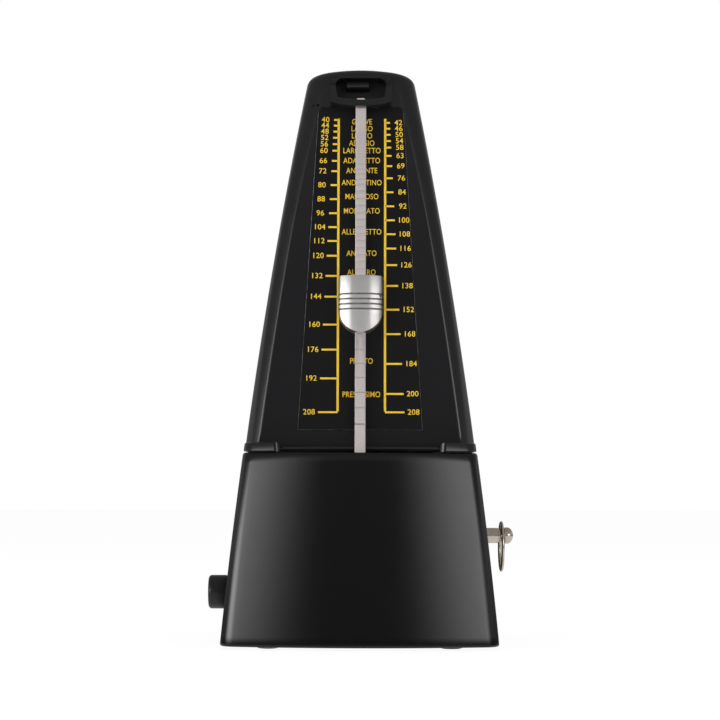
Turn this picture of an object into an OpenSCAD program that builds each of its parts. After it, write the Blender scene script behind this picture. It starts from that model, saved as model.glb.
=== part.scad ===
// Wind-up pendulum metronome, front cover off.
// Millimetres, +Z up, front towards -Y, winding key on +X. The origin is at the middle of
// the footprint, on the surface that the feet stand on.

/* [Case] */
// Height of the case above the table
height = 220; // [215:1:225]
// Width of the case at the table
base_w = 103.4; // [102:0.2:106]
// Width that the side curves reach at the full height
top_w = 39.6; // [38:0.2:42]
// How far the sides bulge out of a straight taper at half height
side_bulge = 2.85; // [2:0.05:3.4]
// Extra depth of the case over its width, front and back each
extra_depth = 2; // [1:0.5:3]
// Wall thickness of the mouldings
wall = 2.4; // [2:0.1:2.8]
// Depth of the bow of the lower front face
front_bow = 7; // [5:0.5:9]
// Height of the joint between the lower and the upper moulding
seam_z = 72.5; // [72:0.5:74]
// Height of the two foot blocks beside the pendulum slot
block_h = 3.8; // [3:0.2:5]
// Clear width between the two foot blocks
slot_w = 59; // [50:1:62]

/* [Scale panel] */
// Lean of the scale panel and of the swing plane
lean = 5; // [4:0.5:6]
// Width of the scale plate at its foot
plate_foot_w = 47; // [44:0.5:49]
// Width of the scale plate at its head
plate_head_w = 32.8; // [30:0.2:34]
// Thickness of the scale plate
plate_t = 1; // [0.8:0.1:1.2]

/* [Pendulum] */
// Height of the pendulum pivot
pivot_z = 60; // [59:0.5:61]
// Distance of the swing plane in front of the scale panel
plane_gap = 4.2; // [4:0.1:4.6]
// Length of the rod above the pivot
rod_len = 149; // [147:0.5:150]
// Width of the pendulum rod
rod_w = 4; // [3.8:0.1:4.6]
// Thickness of the pendulum rod
rod_t = 0.9; // [0.7:0.1:1.1]
// Beats a minute that the weight is set to
tempo = 132; // [126:6:138]
// Height of the sliding weight
weight_h = 21.5; // [20:0.5:23]
// Greatest width of the sliding weight
weight_w = 16.5; // [16:0.5:18]
// Diameter of the fixed counterweight
bob_d = 28; // [26:0.5:28]

/* [Key and selector] */
// Height of the winding key
key_z = 40.8; // [40:0.2:42]
// Distance of the winding key behind the middle of the case
key_y = 8; // [7:0.5:9]
// Diameter of the key shaft
key_d = 6; // [5.6:0.1:6.2]
// Distance of the tip of the key from the middle of the case
key_reach = 60; // [59:0.5:62]
// Height of the beat selector knob
selector_z = 19; // [18.8:0.2:20.4]
// Diameter of the beat selector knob
knob_d = 13; // [12:0.1:13.5]
// Distance of the face of the knob from the middle of the case
knob_reach = 58.5; // [57:0.5:60]

/* [Train] */
// Teeth on the crown escape wheel, an odd number
crown_teeth = 15; // [13:2:17]
// Full turns of the mainspring
spring_turns = 6; // [5:1:7]

/* [Hidden] */
$fn = 64;

// ---- colours ----
black_plastic = "#1c1c1e";
brass = "#c8a24a";
steel = "#b9bcc0";
nickel = "#cfc8bf";
rubber = "#151515";
lead = "#6d6f73";

// ---- case outline ----
case_foot = 1.2;              // gap between the table and the lower edge of the case
corner_r = 5.5;               // upright corners of the lower moulding, at its upper rim
corner_grow = 1;              // they are this much rounder at the foot
back_r = 8;                   // upright corners at the back
arc_steps = 6;                // points along each corner
bow_steps = 10;               // points along the bowed front
flat_steps = 4;               // points along half of a flat front or back
top_round = 3.5;              // rounding of the top edges
arch_r = 80;                  // radius of the arched top, seen from the front
seam_gap = 0.4;               // shadow gap between the two mouldings
loft_step = 12;               // spacing of the lofted sections

// Half width of the case at a height: a straight taper with an even bulge.
function half_w(z) = base_w / 2 + (top_w - base_w) / 2 * z / height
    + 4 * side_bulge * z / height * (1 - z / height);
function half_d(z) = half_w(z) + extra_depth;

// Points of an arc about c, angles from the front, radii rx and ry.
function arc(c, rx, ry, from, to, steps) =
    [for (i = [0:steps]) let (a = from + (to - from) * i / steps)
        [c[0] + rx * sin(a), c[1] - ry * cos(a)]];

function mirror_x(points) = [for (i = [len(points) - 1:-1:0]) [-points[i][0], points[i][1]]];

// The right half of the back, from the side to the middle, inset by d.
function back_half(z, d) =
    let (w = half_w(z) - d, r = back_r - d, back = half_d(z) - d)
    concat(arc([w - r, back - r], r, r, 90, 180, arc_steps),
        [for (i = [flat_steps - 1:-1:1]) [(w - r) * i / flat_steps, back]]);

// A right half that starts on the middle line, closed by its mirror image.
function closed(right) = concat(right, mirror_x([for (i = [1:len(right) - 1]) right[i]]));

// Outline of the lower moulding: bowed front, round corners, inset by d.
function base_outline(z, d) =
    let (w = half_w(z) - d, r = corner_r + corner_grow * (1 - z / seam_z) - d * 0.8,
        front = half_d(z) - d,
        big = (w * w + front_bow * front_bow) / (2 * front_bow),
        swing = asin((w - r) / (big - r)),
        corner_y = -front + big - (big - r) * cos(swing),
        bow = arc([0, -front + big], big, big, 0, swing, bow_steps / 2),
        corner = arc([w - r, corner_y], r, r, swing, 90, arc_steps))
    closed(concat([for (i = [0:len(bow) - 2]) bow[i]], corner, back_half(z, d)));

// ---- swing frame: X across, Y out of the back of the swing plane, Z up the rod ----
pivot_y = -37.5;
module swing_frame() translate([0, pivot_y, pivot_z]) rotate([-lean, 0, 0]) children();
function swing_y(along, out) = pivot_y + along * sin(lean) + out * cos(lean);
function swing_z(along, out) = pivot_z + along * cos(lean) - out * sin(lean);

// Depth of the scale panel at a height.
function panel_y(z) = pivot_y + (z - pivot_z) * tan(lean) + plane_gap / cos(lean);

// ---- upper moulding outline ----
soft_z = 150;                 // the front corners grow softer above this height
foot_turn = 55;               // how far the corner turns before it meets the panel, at the foot
head_turn = 82;               // the same at the head
foot_inset = 5.2;             // width of the turned corner, seen from the front
head_inset = 8;
squat = 0.9;                  // depth over width of the corner ellipse

function turn(z) = foot_turn + (head_turn - foot_turn) * (z - seam_z) / (height - seam_z);
function inset(z) = foot_inset
    + (head_inset - foot_inset) * pow(max(0, z - soft_z) / (height - soft_z), 2);
function tower_outline(z, d) =
    let (w = half_w(z) - d, t = turn(z), full = inset(z) / (1 - cos(t)), a = full - d,
        b = squat * full - d, front = panel_y(z) + d, shoulder = front + b * sin(t),
        corner = arc([w - a, shoulder], a, b, 90 - t, 90, arc_steps + 2),
        flat = [for (i = [0:flat_steps - 1]) [corner[0][0] * i / flat_steps, front]])
    closed(concat(flat, corner, back_half(z, d)));

// ---- lofts ----
function ring(outline, z) = [for (p = outline) [p[0], p[1], z]];
function arched(outline, z) = [for (p = outline) [p[0], p[1], z - p[0] * p[0] / (2 * arch_r)]];
function shrunk(points, k, z) = [for (p = points) let (x = p[0] * k)
    [x, p[1] * k, z - x * x / (2 * arch_r)]];
function levels(low, high) =
    let (n = ceil((high - low) / loft_step)) [for (i = [0:n]) low + (high - low) * i / n];

// Skin over rings of equal length. The ends are joined to each other, or each is closed
// by a fan round its middle.
function middle(points) = [for (p = points) 1 / len(points)] * points;
module skin(rings, looped = false) {
    n = len(rings[0]);
    m = len(rings);
    body = [for (i = [0:m - (looped ? 1 : 2)], j = [0:n - 1])
        let (a = i * n, b = ((i + 1) % m) * n, k = (j + 1) % n)
        each [[a + j, b + j, a + k], [a + k, b + j, b + k]]];
    fans = looped ? [] : [for (j = [0:n - 1]) let (k = (j + 1) % n, last = (m - 1) * n)
        each [[j, k, m * n], [last + k, last + j, m * n + 1]]];
    polyhedron(concat([for (r = rings) each r], [middle(rings[0]), middle(rings[m - 1])]),
        concat(body, fans));
}

// ---- general pieces ----
// A rod along X between two stations, at a place in the side view.
module x_rod(at, from, to, r) translate([from, at[0], at[1]]) rotate([0, 90, 0])
    cylinder(h = to - from, r = r);
// A flat piece square to X, its outline given in the side view.
module x_plate(from, thick) translate([from, 0, 0]) rotate([90, 0, 90])
    linear_extrude(thick) children();
module at_side(at) translate([at[0], at[1]]) children();

pivot_r = 1;                  // pivots of the arbors
hole_r = 1.04;                // their holes, a running fit
arbor_r = 1.2;

// Outline of a toothed wheel. Its first tooth points along the first axis turned by phase.
function tooth_line(teeth, module_mm, phase) =
    let (r = teeth * module_mm / 2, step = 360 / teeth, tip = r + 0.8 * module_mm,
        root = r - 1.25 * module_mm)
    [for (i = [0:teeth - 1]) let (a = phase + i * step)
        each [for (s = [[root, -0.27], [r, -0.19], [tip, -0.08], [tip, 0.08], [r, 0.19],
            [root, 0.27]]) [s[0] * cos(a + s[1] * step), s[0] * sin(a + s[1] * step)]]];

// A wheel with round windows between its spokes.
module wheel(teeth, module_mm, phase, bore_r, spokes) {
    rim_in = teeth * module_mm / 2 - 3.2 * module_mm;
    hub = bore_r + 2;
    window = (rim_in - hub) / 2;
    difference() {
        polygon(tooth_line(teeth, module_mm, phase));
        circle(r = bore_r);
        for (i = [0:spokes - 1]) rotate(phase + (i + 0.5) * 360 / spokes)
            translate([hub + window, 0]) circle(r = window * 0.94);
    }
}

// Tube swept along a path of points that lie in planes square to their travel.
function unit(v) = v / norm(v);
module wire(path, r, sides) {
    n = len(path);
    rings = [for (i = [0:n - 1])
        let (t = unit(path[min(i + 1, n - 1)] - path[max(i - 1, 0)]),
            side = unit(cross(t, [1, 0.02, 0.03])), up = cross(side, t))
        [for (j = [0:sides - 1]) let (a = -360 * j / sides)
            path[i] + r * (side * cos(a) + up * sin(a))]];
    skin(rings);
}

// ---- the train ----
great_teeth = 60;
second_leaves = 10;
second_teeth = 54;
escape_leaves = 8;
beat_teeth = 40;
drum_leaves = 16;
small_module = 0.5;
great_module = 0.7;
beat_module = 0.6;
escape_out = 21;              // distance of the crown wheel's middle along the pendulum arbor
escape_at = [swing_y(0, escape_out), swing_z(0, escape_out)];
great_at = [key_y, key_z];
mesh_play = 0.05;             // centres stand this much apart for backlash
upper_mesh = (second_teeth + escape_leaves) * small_module / 2 + mesh_play;
lower_mesh = (great_teeth + second_leaves) * great_module / 2 + mesh_play;
beat_mesh = (beat_teeth + drum_leaves) * beat_module / 2 + mesh_play;

// The third corner of a triangle on a and b, with sides ra and rb, below the line a to b.
function corner_below(a, b, ra, rb) =
    let (line = b - a, d = norm(line), u = line / d, s = (ra * ra - rb * rb + d * d) / (2 * d),
        h = sqrt(ra * ra - s * s))
    a + s * u + h * [u[1], -u[0]] * (u[0] > 0 ? 1 : -1);
second_at = corner_below(escape_at, great_at, upper_mesh, lower_mesh);
drum_turn = -30;
drum_at = escape_at + beat_mesh * [cos(drum_turn), sin(drum_turn)];
function heading(a, b) = atan2(b[1] - a[1], b[0] - a[0]);
// Phase of a wheel whose tooth gap faces its driver's tooth.
function gap_phase(at, driver, teeth) = heading(at, driver) + 180 / teeth;

// Stations along X
plate_x = 24;                 // inner faces of the two frame plates
frame_t = 1.2;
great_x = 10;
great_t = 2;
second_x = -21.5;
beat_x = -18;
cock_x = -15;
crown_x = -9;

// ---- tempo scale: a compound pendulum with its weight at r beats a known time ----
gravity = 9810;
gyration = 9900;              // square of the radius of gyration term, mm2
balance = 143;                // weight distance at which the pendulum would stop returning, mm
read_drop = 10;               // reading edge of the weight above its middle
function weight_at(bpm) =
    let (w = 180 * bpm / 60 * PI / 180, w2 = w * w)
    (-gravity + sqrt(gravity * gravity - 4 * w2 * (w2 * gyration - gravity * balance))) / (2 * w2);
function mark(bpm) = weight_at(bpm) + read_drop;
function rest(bpm) = mark(bpm) - edge_drop;
TEMPI = [each [40:2:60], each [63:3:72], each [76:4:120], each [126:6:144], each [152:8:208]];
edge_drop = 1.6;              // the weight's upper edge stands this far below its mark
notch_drop = 4.2;             // rod notches lie this far below the weight's upper edge
notch_w = 0.35;
notch_deep = 0.18;

// ---- case ----
floor_z = 2.4;                // underside of the bottom plate
floor_t = 2.4;
floor_top = floor_z + floor_t;
edge_r = 0.9;                 // rounding of the lower moulding's rims
boss_at = [[43, -28], [43, 30]];
boss_h = 15;
screw_r = 1.3;
slot_half = 18;               // half length of the pendulum slot in the deck
deck_rear = -26;              // the deck ends here and the movement has headroom
deck_rim = 5;
deck_step = 0.4;               // the deck lies this far below the rim

module both_sides() {
    children();
    mirror([1, 0, 0]) children();
}

module base_shell() {
    z0 = case_foot;
    z1 = seam_z;
    outer = concat([ring(base_outline(z0, edge_r), z0)],
        [for (z = levels(z0 + edge_r, z1 - edge_r)) ring(base_outline(z, 0), z)],
        [ring(base_outline(z1, edge_r), z1)]);
    inner = [for (z = levels(-z1, -z0)) ring(base_outline(-z, wall), -z)];
    skin(concat(outer, inner), looped = true);
}

module base_housing() color(black_plastic) difference() {
    union() {
        base_shell();
        translate([0, 0, seam_z - wall - deck_step]) linear_extrude(wall) difference() {
            polygon(base_outline(seam_z, wall - 1.2));
            translate([-slot_half, panel_y(seam_z) - 11.4]) square([2 * slot_half, 11.4]);
            intersection() {
                polygon(base_outline(seam_z, wall + deck_rim));
                translate([-base_w, deck_rear]) square(2 * base_w);
            }
        }
        both_sides() for (at = boss_at) translate([at[0], at[1], floor_top]) {
            cylinder(h = boss_h, r = 4);
            translate([2.5, -1, 0]) cube([base_w / 2 - 4.1 - at[0], 2, boss_h - 2]);
        }
    }
    both_sides() for (at = boss_at) translate([at[0], at[1], floor_top - 1])
        cylinder(h = boss_h - 2, r = screw_r + 0.05);
    x_rod(great_at, base_w / 2 - 20, base_w / 2 + 5, key_d / 2 + 0.5);
    x_rod([0, selector_z], -base_w / 2 - 5, -base_w / 2 + 20, 2.3);
}

// Scale panel features, drawn in the swing frame: x across, y along the rod.
module on_panel(front, depth) swing_frame() translate([0, front + depth, 0]) rotate([90, 0, 0])
    linear_extrude(depth) children();
plate_low = 21.5;
plate_high = 145.8;
plate_corner = 2.5;
function plate_outline(grow) =
    let (a = plate_foot_w / 2 + grow, b = plate_head_w / 2 + grow, r = plate_corner + grow,
        right = concat([[a, plate_low - grow]],
            [for (p = arc([b - r, plate_high - plate_corner], r, r, 90, 180, arc_steps)) p]))
    concat(right, mirror_x(right));

// Cavity behind the rod's tip, closed below by the rest.
rest_low = 145.6;
lip_low = 144.7;              // lower and upper edge of the lip, at its middle
lip_high = 146.8;
lip_sweep = 1.7;              // how far the lip's ends sweep up
cavity_low = 150;
cavity_w = 19.4;
cavity_h = 7;
cavity_deep = 5.5;
bar_r = 2.2;                  // round bar across the upper part of the cavity
bar_from = -5.8;
bar_to = 3.4;
rest_w = 23.4;
rest_h = 13;
module pill(w, low, h, r) translate([0, low]) union() {
    translate([-w / 2 + r, 0]) square([w - 2 * r, h]);
    translate([-w / 2, r]) square([w, h - 2 * r]);
    for (x = [-1, 1], y = [r, h - r]) translate([x * (w / 2 - r), y]) circle(r = r, $fn = 32);
}

module foot_blocks() {
    z0 = seam_z + seam_gap;
    z1 = seam_z + block_h;
    lip = 1.4;
    intersection() {
        skin([ring(base_outline(z0, 0.2), z0), ring(base_outline(z1, 0.2), z1)]);
        both_sides() translate([0, panel_y(seam_z) + 2, 0]) rotate([90, 0, 0])
            linear_extrude(base_w / 4) polygon([[slot_w / 2, z0], [base_w, z0], [base_w, z1],
                [slot_w / 2 + lip, z1], [slot_w / 2, z1 - lip]]);
    }
}

module tower_shell() {
    z0 = seam_z + seam_gap;
    shoulder_z = height - top_round - 4;
    ceiling = height - 17;
    walls = levels(z0, shoulder_z);
    inner = [for (z = levels(-ceiling, -z0)) ring(tower_outline(-z, wall), -z)];
    cavity = [shrunk(tower_outline(ceiling, wall), 0.05, ceiling)];
    outer = [for (z = walls) ring(tower_outline(z, 0), z)];
    crown = [for (a = [0:22.5:90])
        arched(tower_outline(height - top_round, top_round * (1 - cos(a))),
            height - top_round + top_round * sin(a))];
    top = [for (k = [0.75, 0.5, 0.25, 0.03])
        shrunk(tower_outline(height - top_round, top_round), k, height)];
    skin(concat(cavity, inner, outer, crown, top));
}

module tower_housing() color(black_plastic) {
    difference() {
        union() {
            tower_shell();
            foot_blocks();
        }
        on_panel(plane_gap - 5, 5 + plate_t + 0.1) polygon(plate_outline(0.15));
        on_panel(plane_gap - 5, 5 + cavity_deep) pill(cavity_w, cavity_low, cavity_h, 2.6);
    }
    swing_frame() translate([bar_from, plane_gap + cavity_deep - 0.5, cavity_low + cavity_h - bar_r - 0.2])
        rotate([0, 90, 0]) cylinder(h = bar_to - bar_from, r = bar_r);
}

module scale_plate() color("#101012") on_panel(plane_gap + 0.1, plate_t) polygon(plate_outline(0));

// The rest: a rim round the cavity, and a lip that hangs in front of the rod's tip. It is
// open to both sides below its two arms, so the rod swings out from behind the lip.
lip_front = 2.4;              // front face of the lip, before the swing plane
lip_t = 1.5;
arm_low = 150.2;
function lip_edge(low, reach) = [for (i = [-4:4]) let (x = reach * i / 4)
    [x, low + lip_sweep * pow(2 * x / rest_w, 2)]];
module rod_clip() color(black_plastic) {
    rim = 1.2;
    on_panel(plane_gap - rim, rim) difference() {
        pill(rest_w, rest_low + 3.4, rest_h - 3.4, 4);
        pill(cavity_w, cavity_low, cavity_h, 2.6);
    }
    on_panel(-lip_front + lip_t / 2, plane_gap - rim / 2 + lip_front - lip_t / 2) both_sides()
        translate([cavity_w / 2, arm_low]) square([(rest_w - cavity_w) / 2, 2.6]);
    on_panel(-lip_front, lip_t) polygon(concat(lip_edge(lip_low, rest_w / 2),
        [[rest_w / 2, arm_low + 2.6], [cavity_w / 2, arm_low + 2.6]],
        lip_edge(lip_high, 0.8 - cavity_w / 2),
        [[-cavity_w / 2, arm_low + 2.6], [-rest_w / 2, arm_low + 2.6]]));
}

foot_at = [34, 36];
module bottom_plate() color(black_plastic) difference() {
    translate([0, 0, floor_z]) linear_extrude(floor_t) polygon(base_outline(floor_top, wall + 0.15));
    both_sides() {
        for (at = concat(boss_at, tab_screws)) translate([at[0], at[1], 0])
            cylinder(h = 10, r = screw_r + 0.2);
        for (y = [-1, 1]) translate([foot_at[0], y * foot_at[1], 0]) cylinder(h = 10, r = 2);
    }
    translate([bell_at[0], bell_at[1], 0]) cylinder(h = 10, r = 1.6);
}

module feet() color(rubber) both_sides() for (y = [-1, 1])
    translate([foot_at[0], y * foot_at[1], 0]) rotate_extrude() polygon([[0, 0], [3.4, 0],
        [4.3, 0.4], [4.7, 1.2], [4.7, floor_z], [1.9, floor_z], [1.9, floor_top], [2.7, floor_top],
        [1.5, floor_top + 1.4], [0, floor_top + 1.4]]);

// A screw from below: head under the bottom plate, shank upwards.
module screw_up(at, reach, r) translate([at[0], at[1], 0]) rotate_extrude() polygon([[0, 0.9],
    [2, 0.9], [2.6, 1.4], [2.6, floor_z], [r, floor_z], [r, reach - 0.8], [r - 0.8, reach], [0, reach]]);
module case_screws() color(steel) both_sides() for (at = boss_at) screw_up(at, 14, screw_r);
tab_screws = [[30, -8], [30, 8]];
module movement_screws() color(steel) both_sides() for (at = tab_screws) screw_up(at, 7.6, screw_r);

// ---- frame ----
pillar_at = [[-22, 12], [25, 22], [29.3, 61]];
post_at = [[5, 61], [8, 50]];
hammer_at = [14, 65];
bell_at = [-8, 28];
tab_t = 1.2;
module frame_outline() polygon([[-27, floor_top], [29, floor_top], [31, 24], [33, 60], [27, 71],
    [-20, 71], [-31, 66], [-31, 52], [-27, 45]]);
module frame_plate(holes, wide_holes) {
    x_plate(plate_x, frame_t) difference() {
        frame_outline();
        for (at = holes) at_side(at) circle(r = hole_r);
        for (at = wide_holes) at_side(at) circle(r = 2.04);
        at_side([-4, 24]) circle(r = 6);
    }
    difference() {
        translate([plate_x, -13, floor_top]) cube([12, 26, tab_t]);
        for (at = tab_screws) translate([at[0], at[1], 0]) cylinder(h = 10, r = screw_r + 0.05);
    }
}
module left_frame_plate() color(brass) mirror([1, 0, 0])
    frame_plate(concat(pillar_at, post_at, [escape_at, second_at, drum_at, great_at, hammer_at]),
        [[0, selector_z]]);
module right_frame_plate() color(brass)
    frame_plate(concat(pillar_at, [second_at, hammer_at]), [great_at]);
module frame_pillars() color(brass) for (at = pillar_at) {
    x_rod(at, -plate_x, plate_x, 2.5);
    x_rod(at, -plate_x - frame_t, plate_x + frame_t, pivot_r);
}
module pillar_screws() color(steel) both_sides() for (at = pillar_at)
    translate([plate_x + frame_t, at[0], at[1]]) rotate([0, 90, 0]) difference() {
        cylinder(h = 1.5, r1 = 2.6, r2 = 2.2);
        translate([-3, -0.3, 1]) cube([6, 0.6, 1]);
    }

// A bearing bridge in the swing frame: a strap between the frame plates, ears bent back.
bridge_t = 1.4;
bush_r = 1.6;
module bridge(out, low, high, tongue) swing_frame() difference() {
    union() {
        translate([-plate_x, out, low]) cube([2 * plate_x, bridge_t, high - low]);
        translate([-tongue, out, -3.4]) cube([2 * tongue, bridge_t, high + 3.4]);
        both_sides() translate([plate_x - 1.2, out, low]) cube([1.2, 8, high - low]);
    }
    translate([0, out - 1, 0]) rotate([-90, 0, 0]) cylinder(h = 4, r = bush_r);
}
front_out = 5.4;
rear_out = 34.5;
module front_bridge() color(brass) bridge(front_out, -5, 5, 5);
module rear_bridge() color(brass) bridge(rear_out, 9.5, 14, 2.3);
module pendulum_bushes() color("#d9b86a") swing_frame() for (out = [front_out, rear_out])
    translate([0, out - 0.6, 0]) rotate([-90, 0, 0]) difference() {
        cylinder(h = bridge_t + 1.2, r = bush_r - 0.01);
        translate([0, 0, -1]) cylinder(h = 6, r = hole_r);
    }
module train_cock() color(brass) {
    x_plate(cock_x, frame_t) difference() {
        union() {
            for (at = concat(post_at, [escape_at, drum_at])) at_side(at) circle(r = 3.2);
            polygon([escape_at + [0, -3], post_at[1] + [2, -2], post_at[0] + [3, 0],
                post_at[0] + [-1, 3], escape_at + [-1, 3]]);
        }
        for (at = concat(post_at, [escape_at, drum_at])) at_side(at) circle(r = hole_r);
    }
    for (at = post_at) {
        x_rod(at, -plate_x, cock_x, 2);
        x_rod(at, -plate_x - frame_t, cock_x + frame_t, pivot_r);
    }
}

// ---- winding ----
spring_x = 13.4;
spring_w = 9.6;
spring_t = 0.4;
ratchet_x = 7.2;
ratchet_w = 1.8;
ratchet_teeth = 12;
arbor_end = 34;
module winding_arbor() color(steel) {
    x_rod(great_at, -plate_x, plate_x - 0.2, 3);
    x_rod(great_at, -plate_x - frame_t - 0.3, -plate_x, pivot_r);
    x_rod(great_at, plate_x - 0.2, arbor_end, 2);
}
function polar(r, a) = [r * cos(a), r * sin(a)];
function saw_line(teeth, root, tip) = [for (i = [0:teeth - 1]) let (a = i * 360 / teeth)
    each [polar(tip, a), polar(root, a)]];
module ratchet_wheel() color(steel) x_plate(ratchet_x, ratchet_w) at_side(great_at) difference() {
    polygon(saw_line(ratchet_teeth, 6.4, 8));
    circle(r = 3.02);
}
spring_in = 3.9;
spring_out = 15.6;
hook_at = pillar_at[1];
function coil_r(s) = spring_in + (spring_out - spring_in) * s
    + max(0, s - 0.97) / 0.03 * (norm(hook_at - great_at) - spring_out - 3);
module mainspring() color("#5e6470") x_plate(spring_x, spring_w) at_side(great_at) {
    steps = spring_turns * 30;
    end = heading(great_at, hook_at);
    line = [for (i = [0:steps]) let (s = i / steps, a = end - 360 * spring_turns * (1 - s))
        [coil_r(s), a]];
    polygon(concat([for (p = line) p[0] * [cos(p[1]), sin(p[1])]],
        [for (i = [steps:-1:0]) (line[i][0] + spring_t) * [cos(line[i][1]), sin(line[i][1])]]));
}
bow_x = 55.4;
bow_t = 1.6;
pin_r = 0.45;
module key_shaft() color(nickel) difference() {
    nose = key_d / 2 + 0.2;
    nose_x = bow_x + bow_t / 2 + 0.3;
    dome = key_reach - nose_x;
    translate([0, great_at[0], great_at[1]]) rotate([0, 90, 0]) rotate_extrude() polygon(concat(
        [[0, plate_x + 3], [key_d / 2, plate_x + 3], [key_d / 2, nose_x], [nose, nose_x]],
        [for (a = [0:15:90]) [nose * cos(a), nose_x + dome * 0.35 + dome * 0.65 * sin(a)]]));
    x_rod(great_at, plate_x, arbor_end + 0.3, 2.02);
    translate([bow_x, great_at[0] - 5, great_at[1]]) rotate([-90, 0, 0])
        cylinder(h = 10, r = pin_r + 0.01);
}
module key_bow_pin() color(steel) translate([bow_x, great_at[0] - 6.6, great_at[1]])
    rotate([-90, 0, 0]) cylinder(h = 13.2, r = pin_r);
function ellipse(c, rx, ry, steps) = [for (i = [0:steps - 1]) let (a = 360 * i / steps)
    [c[0] + rx * cos(a), c[1] + ry * sin(a)]];
bow_up = 5.7;
bow_down = 14.2;
bow_half = 7.4;
bow_bar = 1.8;
module key_bow() color(nickel) difference() {
    x_plate(bow_x - bow_t / 2, bow_t) at_side(great_at) difference() {
        polygon(ellipse([0, (bow_up - bow_down) / 2], bow_half, (bow_up + bow_down) / 2, 48));
        polygon(ellipse([0, (bow_up - bow_down) / 2], bow_half - bow_bar - 0.3,
            (bow_up + bow_down) / 2 - bow_bar, 48));
    }
    translate([bow_x, great_at[0] - 9, great_at[1]]) rotate([-90, 0, 0])
        cylinder(h = 18, r = pin_r + 0.05);
}

// ---- train pieces ----
spokes = 5;
great_phase = heading(great_at, second_at);
stud_turn = great_phase + 72 * 3;
stud_r = 13.4;
stud_at = great_at + stud_r * [cos(stud_turn), sin(stud_turn)];
module great_wheel() color(brass) x_plate(great_x, great_t) difference() {
    at_side(great_at) wheel(great_teeth, great_module, great_phase, 3.04, spokes);
    at_side(stud_at) circle(r = 1.02);
}
module click_stud() color(steel) {
    x_rod(stud_at, ratchet_x - 0.6, great_x + great_t, 1);
    x_rod(stud_at, ratchet_x - 1.2, ratchet_x - 0.2, 1.8);
}
// The click pushes on the steep face of one tooth; its nose lies just clear of it.
catch_turn = 30 * floor((stud_turn - 35) / 30);
module click() color(steel) x_plate(ratchet_x, ratchet_w) difference() {
    union() {
        at_side(stud_at) circle(r = 2.4);
        at_side(great_at) polygon([polar(6.8, catch_turn + 1.6), polar(8.9, catch_turn + 1.6),
            polar(stud_r + 2.1, stud_turn - 4), polar(stud_r - 1.9, stud_turn - 7),
            polar(8.7, catch_turn + 40), polar(8.5, catch_turn + 24)]);
    }
    at_side(stud_at) circle(r = 1.05);
}
// A leaf from the click's hub; its free end bears on the face of the wheel's rim.
module click_spring() color("#5e6470") x_plate(ratchet_x + 0.4, 1) at_side(great_at) {
    leaf = [for (a = [11:6:59]) [stud_r - 0.4 + 1.2 * pow((a - 11) / 48, 2), stud_turn + a]];
    polygon(concat([for (p = leaf) polar(p[0], p[1])],
        [for (i = [len(leaf) - 1:-1:0]) polar(leaf[i][0] + 0.5, leaf[i][1])]));
}

second_phase = gap_phase(second_at, great_at, second_leaves);
module intermediate_arbor() color(steel) {
    x_rod(second_at, -plate_x, plate_x, arbor_r);
    x_rod(second_at, -plate_x - frame_t, plate_x + frame_t, pivot_r);
    x_plate(great_x - 1.5, great_t + 3) at_side(second_at)
        polygon(tooth_line(second_leaves, great_module, second_phase));
}
wheel_phase = heading(second_at, escape_at);
module intermediate_wheel() color(brass) x_plate(second_x, frame_t) at_side(second_at)
    wheel(second_teeth, small_module, wheel_phase, arbor_r + 0.01, spokes);
module escape_arbor() color(steel) {
    x_rod(escape_at, -plate_x, cock_x, arbor_r);
    x_rod(escape_at, -plate_x - frame_t, crown_x, pivot_r);
    x_plate(second_x - 0.8, frame_t + 1.6) at_side(escape_at)
        polygon(tooth_line(escape_leaves, small_module, gap_phase(escape_at, second_at, escape_leaves)));
}
beat_phase = heading(escape_at, drum_at);
module beat_drive_wheel() color(brass) x_plate(beat_x, 1) at_side(escape_at)
    wheel(beat_teeth, beat_module, beat_phase, arbor_r + 0.01, spokes);

// The crown wheel: a dished wheel whose saw teeth stand on its rim, facing the pallets.
crown_r = 10.5;
crown_rim = 1.3;
crown_tip = -2.3;
crown_deep = 2.2;
module escape_wheel() color(brass) translate([0, escape_at[0], escape_at[1]]) rotate([0, 90, 0])
    difference() {
        translate([0, 0, crown_x]) difference() {
            cylinder(h = crown_tip - crown_x, r = crown_r);
            translate([0, 0, 1]) cylinder(h = 10, r = crown_r - crown_rim);
            translate([0, 0, -1]) cylinder(h = 4, r = pivot_r + 0.01);
            for (i = [0:4]) rotate(i * 72) translate([5.6, 0, -1]) cylinder(h = 4, r = 2.3);
        }
        pitch = 2 * PI * crown_r / crown_teeth;
        for (i = [0:crown_teeth - 1]) rotate(i * 360 / crown_teeth)
            translate([crown_r - crown_rim - 1, 0, crown_tip]) rotate([90, 0, 90])
                linear_extrude(crown_rim + 2) polygon([[0, 0.1], [0, -crown_deep],
                    [pitch * 0.8, 0.1]]);
    }

drum_root = 3.4;
drum_tip = 5;
drum_from = -2.6;
zone_w = 2;
LOBES = [0, 6, 4, 3, 2];      // strokes of the bell for each turn, one zone each
module beat_drum() color(brass) {
    for (i = [0:4]) x_plate(drum_from - (i + 1) * zone_w, zone_w) at_side(drum_at)
        if (LOBES[i] == 0) circle(r = drum_root);
        else union() {
            circle(r = drum_root);
            for (k = [1:LOBES[i]]) rotate(k * 360 / LOBES[i])
                polygon([[0, 0], [drum_root, -1.6], [drum_tip, 0], [drum_root, 0.2]]);
        }
    x_rod(drum_at, cock_x + frame_t + 0.2, drum_from - 5 * zone_w, 1.6);
    x_rod(drum_at, -plate_x, cock_x - 0.1, arbor_r);
    x_rod(drum_at, -plate_x - frame_t, cock_x + frame_t + 0.3, pivot_r);
    x_plate(beat_x - 0.8, 2.6) at_side(drum_at)
        polygon(tooth_line(drum_leaves, beat_module, gap_phase(drum_at, escape_at, drum_leaves)));
}

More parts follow.
